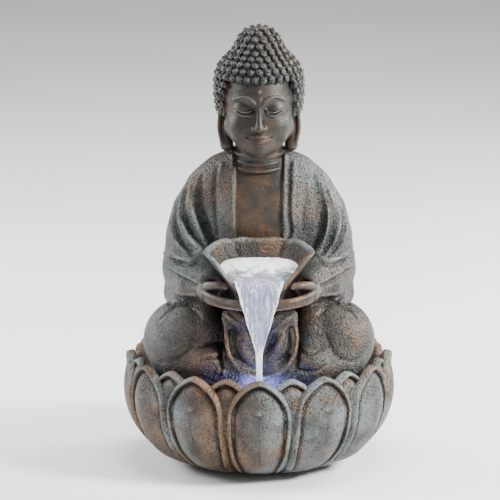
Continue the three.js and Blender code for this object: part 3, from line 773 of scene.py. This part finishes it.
def sculpt_head():
    clay = Clay((-47, -50, 266), (47, 56, 397), HEAD_STEP)
    y0 = HEAD_Y
    clay.merge(loft([(266, 27, 25, 4), (276, 21.5, 21, 3), (300, 20, 20, 3), (330, 20, 20, 3)]))
    for z, wide in ((270.5, 24.6), (276.2, 22.8), (281.6, 21.4)):
        turns = np.linspace(-2.4, 2.4, 40)
        ring = [(wide * math.sin(a), 2 - wide * 0.98 * math.cos(a), z - 3.2 * math.cos(a)) for a in turns]
        clay.merge(tube(ring, 2.5), 2.0)
    clay.merge(ellipsoid((0, y0 + 2, 332), (31, 35, 36)), 0)
    jaw = [(282, 5, 8, y0 - 20), (287, 11, 14, y0 - 15), (294, 17.5, 21, y0 - 10)]
    cheeks = [(304, 24, 27.5, y0 - 5), (316, 28.6, 31, y0 - 2), (330, 30.6, 33, y0), (352, 29, 31, y0 + 2)]
    clay.merge(loft(jaw + cheeks), 5)
    clay.merge(ellipsoid((0, y0 - 24, 289.4), (8.4, 7.8, 7.0)), 6)
    pair_merge(clay, ellipsoid((15, y0 - 21.5, 307), (11, 9.5, 12)), 9)
    pair_merge(clay, tube([(24, y0 - 4, 304), (11, y0 - 17, 291)], [7, 6]), 10)
    for side in (-1, 1):
        clay.carve(ellipsoid((side * 13, y0 - 38.5, 326), (10.5, 8.2, 6.2)), 6)
    pair_merge(clay, ellipsoid((13, y0 - 23.6, 325.4), (9.4, 8.2, 6.4)), 2.2)
    inner_brow = [(3.2, y0 - 35.0, 329.5), (7.5, y0 - 35.0, 334.5)]
    brow = curve([*inner_brow, (14.5, y0 - 32.4, 336.6), (23, y0 - 25.2, 332.5)], 18)
    pair_merge(clay, tube(brow, np.linspace(1.5, 0.9, 18)), 2.6)
    for side in (-1, 1):
        inner_lid = [(5.0, y0 - 31.6, 323.6), (9.0, y0 - 32.6, 321.6)]
        lid = curve(sided(side, [*inner_lid, (14.5, y0 - 31.9, 321.2), (21.6, y0 - 26.2, 324.6)]), 18)
        clay.carve(tube(lid, 0.85), 0.6)
        rim = [(x, y - 0.3, z - 1.7) for x, y, z in lid[1:-1]]
        clay.merge(tube(rim, 0.7), 1.8)
        upper_lid = [(x, y - 0.5, z + 1.5) for x, y, z in lid[1:-1]]
        clay.merge(tube(upper_lid, 0.7), 1.4)
    nose = [(0, y0 - 32.6, 333), (0, y0 - 35.4, 324), (0, y0 - 38.2, 315), (0, y0 - 39.8, 309.6)]
    clay.merge(tube(nose, [2.4, 2.2, 2.7, 3.7]), 2.6)
    pair_merge(clay, ellipsoid((4.4, y0 - 35.8, 308.8), (3.0, 4.0, 2.8)), 1.6)
    for side in (-1, 1):
        clay.carve(ellipsoid((side * 2.6, y0 - 38.2, 305.9), (1.5, 2.0, 1.1)), 0.6)
    clay.carve(tube([(0, y0 - 35.2, 305), (0, y0 - 35.0, 302.6)], 1.1), 1.4)
    clay.merge(ellipsoid((0, y0 - 27, 299.6), (11.5, 7.2, 6)), 5)
    half_lip = [(9.8, y0 - 31.6, 299.8), (5, y0 - 34.2, 300.3), (1.6, y0 - 35.2, 301.4)]
    upper = curve([*sided(-1, half_lip), (0, y0 - 35.2, 300.9), *half_lip[::-1]], 24)
    clay.merge(tube(upper, 0.5 + 0.9 * np.sin(np.linspace(0.15, np.pi - 0.15, 24))), 1.2)
    lower = curve([(-7.8, y0 - 31.8, 297.6), (0, y0 - 34.4, 296.0), (7.8, y0 - 31.8, 297.6)], 18)
    clay.merge(tube(lower, 0.6 + 1.3 * np.sin(np.linspace(0.15, np.pi - 0.15, 18))), 1.4)
    half_mouth = [(11, y0 - 31.4, 300.2), (5, y0 - 35.0, 298.7)]
    mouth = curve([*sided(-1, half_mouth), (0, y0 - 36.4, 298.8), *half_mouth[::-1]], 24)
    clay.carve(tube(mouth, 0.75), 0.6)
    clay.carve(tube([(-4, y0 - 34.6, 293), (0, y0 - 35.2, 292.6), (4, y0 - 34.6, 293)], 1.1), 2.4)
    clay.merge(ball((0, y0 - 33.6, 341), 1.7), 0.5)
    long_ears(clay)
    hair(clay)
    return skin("figure_head", clay)


def long_ears(clay):
    """Ears with long, broad hanging lobes, hollowed along the middle."""
    for side in (-1, 1):
        lobe = curve(sided(side, [(30, 3, 326), (31, 3, 312), (30.4, 2, 298), (28.6, 0, 287)]), 14)
        clay.merge(tube(lobe, np.linspace(5.0, 6.0, 14)), 2.5)
        ear_top = [(33, 8, 318), (35.4, 10, 328), (34.6, 5, 336), (33, -3, 333), (32, -4, 322)]
        helix = curve(sided(side, ear_top), 18)
        clay.merge(tube(helix, 2.2), 1.0)
        fold = curve(sided(side, [(34.4, -3, 316), (35.2, -3, 302), (32.6, -4, 289)]), 10)
        clay.merge(tube(fold, 1.8), 1.4)
        slot = curve(sided(side, [(36.6, 1.5, 318), (37.4, 1.5, 304), (35.4, 0.5, 290)]), 10)
        clay.carve(tube(slot, 1.9), 1.0)


def hair(clay):
    """A cap over the skull, covered in rows of snail-shell curls."""
    z_all = np.linspace(294, 389.4, 64)
    stations = [(z, hair_radius(z), hair_radius(z) * HAIR_DEPTH, HAIR_Y) for z in z_all[::3]]
    cap, low, high = loft(stations)
    part, x, y, z = clay.window(low - 4, high + 4)
    turn = np.arctan2(x, -(y - HAIR_Y))
    edge = hairline(turn) - z
    form = -smooth_min(-cap(x, y, z), -edge.astype(np.float32), 1.6)
    clay.d[part] = smooth_min(clay.d[part], form.astype(np.float32), 0.3)
    arc = np.concatenate([[0], np.cumsum(np.hypot(np.diff(z_all), np.diff(hair_radius(z_all))))])
    rows = np.arange(np.interp(FIRST_ROW_Z, z_all, arc) % ROW_SPACING, arc[-1] + 1, ROW_SPACING)
    for i, at in enumerate(rows):
        z_row = float(np.interp(at, arc, z_all))
        r_row = float(hair_radius(z_row))
        count = max(1, int(round(2 * math.pi * r_row * 1.04 / CURL_SPACING)))
        dz = 1.5
        slope = float(hair_radius(z_row - dz) - hair_radius(z_row + dz)) / (2 * dz)
        for j in range(count):
            turn = 2 * math.pi * (j + 0.5 * (i % 2)) / count
            turn = (turn + math.pi) % (2 * math.pi) - math.pi
            if z_row < hairline(turn) + 0.4:
                continue
            curl(clay, turn, z_row, r_row, slope, spin=1 if (i + j) % 2 else -1)
    clay.merge(ball((0, HAIR_Y, 389.4), 3.6), 0.6)


def curl(clay, turn, z_row, r_row, slope, spin):
    """One curl: a low dome with a spiral groove."""
    out = np.array([math.sin(turn), -math.cos(turn) / HAIR_DEPTH, slope])
    out /= np.linalg.norm(out)
    on_cap = np.array([r_row * math.sin(turn), HAIR_Y - r_row * HAIR_DEPTH * math.cos(turn), z_row])
    center = on_cap + out * 0.4
    along = np.cross([0, 0, 1.0], out)
    along = along / max(np.linalg.norm(along), 1e-6)
    up = np.cross(out, along)
    reach = 4.6
    part, x, y, z = clay.window(center - reach - 0.6, center + reach + 0.6)
    x, y, z = x - center[0], y - center[1], z - center[2]
    u = x * along[0] + y * along[1] + z * along[2]
    v = x * up[0] + y * up[1] + z * up[2]
    w = x * out[0] + y * out[1] + z * out[2]
    flat = np.sqrt(u**2 + v**2)
    dome = np.sqrt(flat**2 + (w * 0.88) ** 2) - CURL_RADIUS
    phase = np.cos(spin * np.arctan2(v, u) - 2 * math.pi * flat / 2.1)
    dome = dome + 0.42 * phase * smooth_step(flat, 0.2, 1.0) * smooth_step(w, -0.5, 0.8)
    clay.d[part] = smooth_min(clay.d[part], dome.astype(np.float32), 0.35)


# ---- Basin ----
PETALS = 12
BELLY_R, BELLY_Z = 111.5, 68.0
FOOT_R = 50.0
RIM_Z = 86.0
INNER_FLOOR = 10.0


def wall_radius(z):
    t = np.clip((z - FOOT_Z) / (BELLY_Z - FOOT_Z), 0, 1)
    return FOOT_R + (BELLY_R - FOOT_R) * np.sqrt(1 - (1 - t) ** 2) - 0.05 * np.maximum(z - BELLY_Z, 0)


def petal_outline(low, half_angle, tip):
    """Left to right outline as (angle, z) points, over the pointed arch at the top."""
    arch_z = tip - 36
    sides = np.linspace(low, arch_z, 30)[:-1]
    narrowing = 1 - 0.10 * smooth_step(-sides, -34, -low)
    t = 1 - (1 - np.linspace(0, 1, 26)) ** 1.7
    arch = np.column_stack([half_angle * (1 - t**2.0) ** 0.66, arch_z + (tip - arch_z) * t])
    right = np.vstack([np.column_stack([half_angle * narrowing, sides]), arch])
    left = right[:-1][::-1] * [-1, 1]
    return np.vstack([right, left])[::-1]


def petal(turn, low, half_angle, tip, rise, rim=3.6):
    """One petal as a closed shell: rolled rim, groove and pillowed field on the outer side."""
    outline = petal_outline(low, half_angle, tip)
    spine_z = np.clip(outline[:, 1], low, tip - 30)
    radius_edge = wall_radius(outline[:, 1]) + rise
    edge = np.column_stack([np.sin(outline[:, 0]) * radius_edge, outline[:, 1]])
    spine = np.column_stack([np.zeros(len(edge)), spine_z])
    reach = np.maximum(np.linalg.norm(edge - spine, axis=1), 7.0)
    border = np.array([0, 0.5, 1.1, 1.8, 2.6, 3.4, 4.2, 4.8, 5.4, 6.0])
    depths = [np.full(len(edge), d) for d in border]
    depths += [6.0 + (reach * 0.995 - 6.0) * s for s in (0.07, 0.16, 0.27, 0.4, 0.55, 0.7, 0.85, 1.0)]
    rings = []
    for inward in depths:
        flat = edge + (spine - edge) * np.clip(inward / reach, 0, 0.995)[:, None]
        roll = rim * 0.8 * np.sin(np.clip(inward / 4.8, 0, 1) * np.pi) ** 0.75
        groove = -1.8 * np.exp(-(((inward - 5.6) / 1.0) ** 2))
        field = np.clip((inward - 5.8) / (reach - 5.8), 0, 1)
        pillow = 5.0 * (1 - (1 - field) ** 2.4)
        drop = -2.6 * np.exp(-inward / 0.7)
        foot = smooth_step(flat[:, 1], low, low + 14)
        curl_out = 1.6 * smooth_step(flat[:, 1], tip - 22, tip)
        relief = (roll + groove + pillow + drop) * (0.35 + 0.65 * foot)
        r = wall_radius(flat[:, 1]) + rise - 3.6 + relief + curl_out
        rings.append(polar(flat, r, turn))
    back_rings = []
    for share in (0.0, 0.12, 0.5, 0.98):
        flat = edge + (spine - edge) * share
        back = -7.5 + 3.0 * math.exp(-share * 8)
        r = wall_radius(flat[:, 1]) + rise - 3.4 + back + 1.6 * smooth_step(flat[:, 1], tip - 22, tip)
        back_rings.append(polar(flat, r, turn))
    front = np.vstack(rings)
    back = np.vstack(back_rings)
    n = len(outline)
    faces = grid_faces(len(rings), n, closed=True)
    faces += grid_faces(len(back_rings), n, closed=True, first=len(front), flip=True)
    faces += [[len(front) + j, len(front) + (j + 1) % n, (j + 1) % n, j] for j in range(n)]
    faces.append([(len(rings) - 1) * n + j for j in range(n)])
    faces.append([len(front) + (len(back_rings) - 1) * n + j for j in range(n)][::-1])
    return np.vstack([front, back]), faces


def polar(flat, r, turn):
    """Points given by sideways distance and height, wrapped onto radius r about Z."""
    angle = np.arcsin(np.clip(flat[:, 0] / np.maximum(r, 1), -1, 1)) + turn
    return np.column_stack([np.sin(angle) * r, -np.cos(angle) * r, flat[:, 1]])


def shell():
    """The bowl of the basin between and behind the petals."""
    below_belly = FOOT_Z + (BELLY_Z - FOOT_Z) * np.linspace(0, 1, 18) ** 1.7
    z = np.concatenate([below_belly, np.linspace(BELLY_Z + 4, RIM_Z - 1, 5)])
    outer = [(r, h) for r, h in zip(wall_radius(z), z)]
    lip = [(BELLY_R - 1.6, RIM_Z), (BELLY_R - 4.4, RIM_Z), (BELLY_R - 6, RIM_Z - 1.5)]
    t = np.linspace(1, 0, 16) ** 1.7
    inner_r = 44 + (BELLY_R - 6 - 44) * np.sqrt(1 - (1 - t) ** 2)
    inner = list(zip(inner_r, INNER_FLOOR + 62 * t))
    underside = [(0.5, FOOT_Z), (25, FOOT_Z)]
    profile = [*underside, *outer, *lip, *inner, (20, INNER_FLOOR), (0.5, INNER_FLOOR)]
    angles = np.linspace(0, 2 * np.pi, 144, endpoint=False)
    points = [(r * math.sin(a), -r * math.cos(a), h) for r, h in profile for a in angles]
    faces = grid_faces(len(profile), len(angles), closed=True)
    n = len(angles)
    faces.append(list(range(n))[::-1])
    faces.append([(len(profile) - 1) * n + j for j in range(n)])
    return np.array(points), faces


def combine(name, parts):
    points, faces, first = [], [], 0
    for p, f in parts:
        points.append(p)
        faces += [[first + i for i in face] for face in f]
        first += len(p)
    return mesh_object(name, np.vstack(points), faces)


def build_basin():
    each = 2 * math.pi / PETALS
    parts = [shell()]
    for i in range(PETALS):
        parts.append(petal(i * each, FOOT_Z + 1.5, 0.243, TIP_Z, 8.0))
    for i in range(PETALS):
        parts.append(petal((i + 0.5) * each, 38, 0.243, TIP_Z - 0.5, 3.0, rim=3.2))
    return combine("basin_lotus", parts)


# ---- Pouring bowl ----

def bowl_point(turn, t, inset=0.0):
    """Point on the bowl's side: turn from the front, t from base (0) to rim (1)."""
    base, high = BOWL_BASE, 204.0
    z = base + (high - base) * t
    r = 17 + 23 * t**1.25 - inset
    up = smooth_step(z, base + 10, high)
    side = np.abs(np.arctan2(np.sin(turn), np.cos(turn)))
    plan = 1 + up * (0.05 * np.cos(side) - 0.21 * np.cos(2 * side))
    rim = 180 + 24 * smooth_step(side, 0.5, 1.25) + 7 * smooth_step(side, 1.4, 2.6)
    lobe = -2.6 * np.exp(-((side - 2.45) / 0.12) ** 2) + 1.2 * np.cos(side * 3) * smooth_step(side, 1.5, 2.2)
    z = z + up * (rim - high + lobe)
    fold = 1.6 * up * np.exp(-((side - 2.45) / 0.09) ** 2)
    r = (r + fold) * plan
    return np.stack([r * np.sin(turn), BOWL_Y - r * np.cos(turn), z], -1)


def build_bowl():
    turns = np.linspace(0, 2 * np.pi, 160, endpoint=False)
    outer = [bowl_point(turns, t) for t in np.linspace(0, 0.985, 40)]
    lip = [bowl_point(turns, 1.0, -0.3), bowl_point(turns, 1.012, 1.2), bowl_point(turns, 1.0, 2.9)]
    inner = [bowl_point(turns, t, 3.5) for t in np.linspace(0.975, 0.14, 30)]
    hole_r, floor_z = 4.1, BOWL_BASE + 7
    floor = [
        np.column_stack([r * np.sin(turns), BOWL_Y - r * np.cos(turns), np.full(len(turns), z)])
        for r, z in ((11, floor_z), (hole_r, floor_z), (hole_r, BOWL_BASE))
    ]
    return ring_solid("pouring_bowl", outer + lip + inner + floor, capped=False)


# ---- Water ----

def water_edge(turns, level):
    """Where water of a given height meets the bowl's inner side, or its lip where the lip is lower."""
    steps = np.linspace(0.3, 0.99, 240)
    points = np.array([bowl_point(turns, t, 3.3) for t in steps])
    over = points[:, :, 2] > level
    first = np.where(over.any(0), over.argmax(0), len(steps) - 1)
    return points[first, np.arange(len(turns))]


def bowl_water():
    """Foamy water welling up in the bowl and running to its lip."""
    turns = np.linspace(0, 2 * np.pi, 120, endpoint=False)
    rng = np.random.default_rng(SEED)
    level = 182.6 + 11.5 * smooth_step(-np.cos(turns), -1, 0.6)
    edge = water_edge(turns, level)
    rings, foam = [], []
    for share in np.linspace(0.02, 1.0, 30):
        x = edge[:, 0] * share
        y = BOWL_Y + (edge[:, 1] - BOWL_Y) * share
        back = smooth_step(y, BOWL_Y - 26, BOWL_Y + 8)
        swell = 3.2 * (1 - share**2) * (0.2 + back)
        z = 190.0 + (level - 190.0) * share**2 + swell + rng.normal(0, 0.22, len(x))
        rings.append(np.column_stack([x, y, z]))
        foam.append(-0.15 + 1.0 * back + 0.4 * np.exp(-((x / 16) ** 2) - ((y - BOWL_Y) / 12) ** 2))
    narrow, thickness = 0.985, 3.0
    under = [
        np.column_stack([r[:, 0] * narrow, BOWL_Y + (r[:, 1] - BOWL_Y) * narrow, r[:, 2] - thickness])
        for r in rings[::-1]
    ]
    obj = ring_solid("water_bowl", rings + under, capped=True)
    mark(obj, "foam", np.concatenate(foam + foam[::-1]))
    return obj


def falling_sheet():
    """The sheet that leaves the lip, draws together into a V with thick edges, and falls as one stream."""
    rows, columns = 120, 49
    v = np.linspace(0, 1, rows)
    z = np.interp(v, [0, 0.05, 0.09, 0.15, 1], [184.6, 183.2, 181.2, 175.5, WATER_Z - 1.5])
    y = np.interp(v, [0, 0.06, 0.14, 0.3, 0.6, 1], [-88, -98.5, -101.8, -103.0, -102.4, -99.5])
    half = np.interp(z, [60, 70, 112, 124, 130.5, 143, 158, 185], [4.2, 2.7, 2.6, 3.4, 4.9, 8.9, 13.3, 21.2])
    rail = np.interp(z, [60, 112, 131, 180], [2.8, 2.4, 3.0, 2.1])
    middle = np.interp(z, [60, 125, 137, 180], [2.8, 2.2, 0.9, 0.8])
    u = np.linspace(-1, 1, columns)
    rng = np.random.default_rng(SEED + 1)
    ripple = rng.normal(0, 1, (rows, columns))
    for _ in range(3):
        ripple = (ripple + np.roll(ripple, 1, 0) + np.roll(ripple, -1, 0) + np.roll(ripple, 1, 1)) / 2.2
    streak = np.convolve(rng.normal(0, 1, columns + 6), np.ones(3) / 3, mode="same")[3:-3]
    front, back, foam = [], [], []
    for i in range(rows):
        x = np.sin(u * np.pi / 2) * half[i] * (1 + 0.02 * math.sin(z[i] * 0.35))
        edge = np.exp(-((1 - np.abs(u)) / 0.25) ** 2)
        thick = middle[i] + (rail[i] - middle[i]) * edge
        thick = thick * np.sqrt(np.clip(1 - u**8, 0.02, 1)) * (1 + 0.10 * streak)
        bow = 0.9 * np.cos(u * np.pi / 2) * smooth_step(v[i], 0.02, 0.2)
        wave = 0.16 * ripple[i]
        front.append(np.column_stack([x, y[i] - thick - bow + wave, np.full(columns, z[i])]))
        back.append(np.column_stack([x, y[i] + thick - bow, np.full(columns, z[i])]))
        stream = smooth_step(-z[i], -134, -118)
        foam.append(np.clip(edge * 1.5 + stream + 0.2 * smooth_step(z[i], 181, 186) - 0.15, -0.2, 1.3))
    ring = [np.vstack([f, b[::-1]]) for f, b in zip(front, back)]
    obj = ring_solid("water_sheet", ring, capped=True)
    mark(obj, "foam", np.concatenate([np.concatenate([f, f[::-1]]) for f in foam]))
    return obj


def pool():
    """Water in the basin, rippled, with froth where the stream lands."""
    turns = np.linspace(0, 2 * np.pi, 144, endpoint=False)
    radii = np.concatenate([[30.0], np.linspace(58, 104.6, 34)])
    rings, foam = [], []
    land = np.array([0.0, -99.5])
    for r in radii:
        x, y = r * np.sin(turns), -r * np.cos(turns)
        away = np.hypot(x - land[0], y - land[1])
        ring_wave = 0.55 * np.cos(away * 0.75) * np.exp(-away / 34)
        chop = 0.18 * np.sin(x * 0.31 + y * 0.17) + 0.14 * np.sin(x * 0.13 - y * 0.37)
        z = WATER_Z + ring_wave + chop + 1.6 * np.exp(-(away / 8) ** 2)
        rings.append(np.column_stack([x, y, z]))
        foam.append(np.exp(-((away / 13) ** 2)) * 1.5 - 0.45)
    under = [np.column_stack([r[:, 0], r[:, 1], np.full(len(turns), WATER_Z - 3)]) for r in rings[::-1]]
    obj = ring_solid("water_pool", rings + under, capped=False)
    mark(obj, "foam", np.concatenate(foam + foam[::-1]))
    return obj


def plinth():
    """The figure's foot below the water, with the arches that let water reach the pump."""
    turns = np.linspace(0, 2 * np.pi, 160, endpoint=False)
    arch = np.zeros(len(turns))
    for middle, half, top in ((0, 12, 44), (np.pi, 12, 44), (np.pi / 2, 12, 30), (-np.pi / 2, 12, 30)):
        away = np.abs(np.arctan2(np.sin(turns - middle), np.cos(turns - middle))) * 68
        arch = np.maximum(arch, (top - 12.7) * smooth_step(half + 1.0 - away, 0, 2.0))
    rings = []
    for r_low, r_high, flip in ((68, 74, False), (58, 62, True)):
        steps = np.linspace(0, 1, 8)
        for s in steps[::-1] if flip else steps:
            low = 12.7 + arch
            z = low + (50 - low) * s
            r = r_low + (r_high - r_low) * (z - 12.7) / 37.3
            rings.append(np.column_stack([r * np.sin(turns), -r * 0.93 * np.cos(turns), z]))
    return ring_solid("figure_plinth", rings, capped=False)


# ---- Put the pieces in place ----

def dress(obj, material, body, slot, *nodes):
    obj.data.materials.clear()
    obj.data.materials.append(material)
    if nodes:
        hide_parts(*nodes)
    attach(obj, body)


def skin_share(obj):
    """1 on bare skin (chest and hands), 0 on cloth."""
    x, y, z = points_of(obj).T
    chest = smooth_step(22.6 - np.abs(x), 0, 1.0) * (z > 204) * (y < 2)
    hands = smooth_step(-y, 47, 51) * smooth_step(z, 155.5, 157)
    hands = hands * smooth_step(181 - z, 0, 2) * smooth_step(53 - np.abs(x), 0, 3)
    return np.maximum(chest, hands)


def second_material(obj, share):
    """Gives the faces whose points have a share over one half the object's second material."""
    faces = obj.data.polygons
    corner = np.zeros(len(obj.data.loops), int)
    obj.data.loops.foreach_get("vertex_index", corner)
    corners = np.zeros(len(faces), int)
    faces.foreach_get("loop_total", corners)
    owner = np.repeat(np.arange(len(faces)), corners)
    mean = np.bincount(owner, np.asarray(share, float)[corner], len(faces)) / corners
    faces.foreach_set("material_index", (mean > 0.5).astype(np.int32))


CLOTH = patina("patina_cloth", grain=0.9, copper=0.42, green=0.86)
PETAL = patina("patina_petal", grain=1.0, copper=0.95, green=0.27, tone=0.95)
SKIN = patina("patina_skin", grain=0.08, copper=0.55, green=0.10, rough=0.42, tone=0.85)
HAIR = patina("patina_hair", grain=0.35, copper=0.20, green=0.45, worn=0.7, tone=0.62)

body_piece, door_piece = sculpt_figure()
head_piece = sculpt_head()
basin_piece = build_basin()
bowl_piece = build_bowl()
plinth_piece = plinth()
for piece in (body_piece, door_piece, head_piece, basin_piece, bowl_piece, plinth_piece):
    flip_outwards(piece)
    mark_wear(piece)
thin(body_piece, BODY_TRIANGLES)
thin(head_piece, HEAD_TRIANGLES)

dress(body_piece, CLOTH, "root", "patina_resin", "figure")
body_piece.data.materials.append(SKIN)
second_material(body_piece, skin_share(body_piece))
dress(head_piece, SKIN, "root", "patina_resin", "figure")
head_piece.data.materials.append(HAIR)
hx, hy, hz = points_of(head_piece).T
second_material(head_piece, hz > hairline(np.arctan2(hx, HAIR_Y - hy)) - 2.5)
dress(plinth_piece, CLOTH, "root", "patina_resin", "figure")
dress(door_piece, CLOTH, "door", "patina_resin", "access_door")
dress(basin_piece, PETAL, "root", "patina_resin", "lotus_basin")
dress(bowl_piece, PETAL, "root", "patina_resin", "alms_bowl")

DOWNWARDS = (1, 1, 0.05)
# the last number of each water material is the strength of its painted glow
STREAM = water_material("water_falling", (0.36, 0.38, 0.58), (0.95, 0.97, 1.0), 0.42, 1.0, DOWNWARDS, 520, 0.24)
FROTH = water_material("water_froth", (0.30, 0.33, 0.37), (0.93, 0.95, 0.97), 0.60, 1.0, scale=110, glow=0.06)
POOL = water_material("water_still", (0.03, 0.035, 0.06), (0.80, 0.86, 1.0), 0.55, 0.97, scale=60, glow=0.03)
for piece, material in ((falling_sheet(), STREAM), (bowl_water(), FROTH), (pool(), POOL)):
    dress(piece, material, "root", "lens")

BLACK = moulded("black_plastic_grain", (0.012, 0.012, 0.013), (0.03, 0.03, 0.032), 0.42)
RUBBER = moulded("black_rubber_grain", (0.010, 0.010, 0.010), (0.024, 0.024, 0.023), 0.72, 500)
WHITE = moulded("white_plastic_grain", (0.74, 0.74, 0.71), (0.82, 0.82, 0.79), 0.32)
FERRITE = moulded("ferrite_grain", (0.03, 0.03, 0.034), (0.07, 0.07, 0.075), 0.5, 900, 0.5)
STEEL = moulded("shaft_steel_ground", (0.42, 0.43, 0.44), (0.56, 0.57, 0.58), 0.28, 1500, 1.0)
BRASS = moulded("brass_turned", (0.42, 0.27, 0.09), (0.58, 0.40, 0.15), 0.33, 1500, 1.0)
BOARD = moulded("led_board_mask", (0.70, 0.73, 0.70), (0.80, 0.83, 0.80), 0.4)
VINYL = clear_material("clear_vinyl_tube", (0.66, 0.74, 0.74), 0.12, 0.45)
LENS = clear_material("lens_lit", (0.55, 0.62, 1.0), 0.10, 0.6, ((0.35, 0.40, 1.0), 2.5))
SPONGE = sponge_material()
BY_SLOT = {"black_plastic": BLACK, "black_rubber": RUBBER, "white_plastic": WHITE, "ferrite": FERRITE,
           "shaft_steel": STEEL, "brass": BRASS, "led_board": BOARD, "clear_vinyl": VINYL, "lens": LENS,
           "filter_sponge": SPONGE}
for entry in frame["record"]["subparts"]:
    material = BY_SLOT.get(entry["material_slot"])
    if material:
        cad = frame["nodes"][entry["node"]]
        cad.data.materials.clear()
        cad.data.materials.append(material)

# ---- Stage, light and camera ----

def stage_floor():
    mesh = bpy.data.meshes.new("stage_floor")
    half = 3.0
    corners = [(-half, -half, 0), (half, -half, 0), (half, half, 0), (-half, half, 0)]
    mesh.from_pydata(corners, [], [(0, 1, 2, 3)])
    obj = bpy.data.objects.new("stage_floor", mesh)
    bpy.context.scene.collection.objects.link(obj)
    n = Nodes("stage_white")
    color = n.mix(n.span(n.noise(4, 2), 0.3, 0.7), (0.90, 0.90, 0.90), (0.92, 0.92, 0.92))
    n.set(Base_Color=color, Roughness=0.9)
    mesh.materials.append(n.material)
    obj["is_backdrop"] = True


def area_light(name, place, aim, size, power, color=(1, 1, 1)):
    data = bpy.data.lights.new(name, "AREA")
    data.size = size
    data.energy = power
    data.color = color
    obj = bpy.data.objects.new(name, data)
    obj.location = place
    obj.rotation_euler = (Vector(aim) - Vector(place)).to_track_quat("-Z", "Y").to_euler()
    bpy.context.scene.collection.objects.link(obj)


def lights():
    aim = (0, 0, 0.2)
    area_light("key_right", (1.3, -0.6, 1.0), aim, 0.4, 72, (1.0, 0.99, 0.96))
    area_light("side_left", (-1.35, 0.0, 0.85), aim, 0.45, 18, (0.93, 0.97, 1.0))
    area_light("rim_right", (1.1, 0.75, 0.7), aim, 0.5, 30, (0.92, 0.97, 1.0))
    area_light("rim_left", (-1.1, 0.75, 0.7), aim, 0.5, 18, (0.92, 0.97, 1.0))
    area_light("top_soft", (0.1, -0.1, 1.9), aim, 0.9, 26)
    glow = bpy.data.lights.new("basin_light", "POINT")
    glow.energy = 1.15
    glow.color = (0.28, 0.30, 1.0)
    glow.shadow_soft_size = 0.03
    lamp = bpy.data.objects.new("basin_light", glow)
    lamp.location = (0.0, -0.094, (WATER_Z + 14) * MM)
    bpy.context.scene.collection.objects.link(lamp)
    world = bpy.data.worlds.new("studio")
    world.use_nodes = True
    world.node_tree.nodes["Background"].inputs[0].default_value = (1, 1, 1, 1)
    world.node_tree.nodes["Background"].inputs[1].default_value = 0.36
    bpy.context.scene.world = world


def camera():
    """Long lens, 13 degrees above the horizontal, in front of the figure."""
    elevation, distance, view_width = math.radians(13), 4.5, 0.4445
    aim = Vector((-0.008, 0, 0.191))
    back = Vector((0, -math.cos(elevation), math.sin(elevation)))
    data = bpy.data.cameras.new("camera")
    data.sensor_width = 36
    data.lens = data.sensor_width * distance / view_width
    obj = bpy.data.objects.new("camera", data)
    obj.location = aim + back * distance
    obj.rotation_euler = (-back).to_track_quat("-Z", "Y").to_euler()
    bpy.context.scene.collection.objects.link(obj)
    bpy.context.scene.camera = obj


stage_floor()
lights()
camera()

shown_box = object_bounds()
boxes = {"cad": cad_box, "visual": shown_box}
boxes = {name: [[float(v) for v in corner] for corner in box] for name, box in boxes.items()}
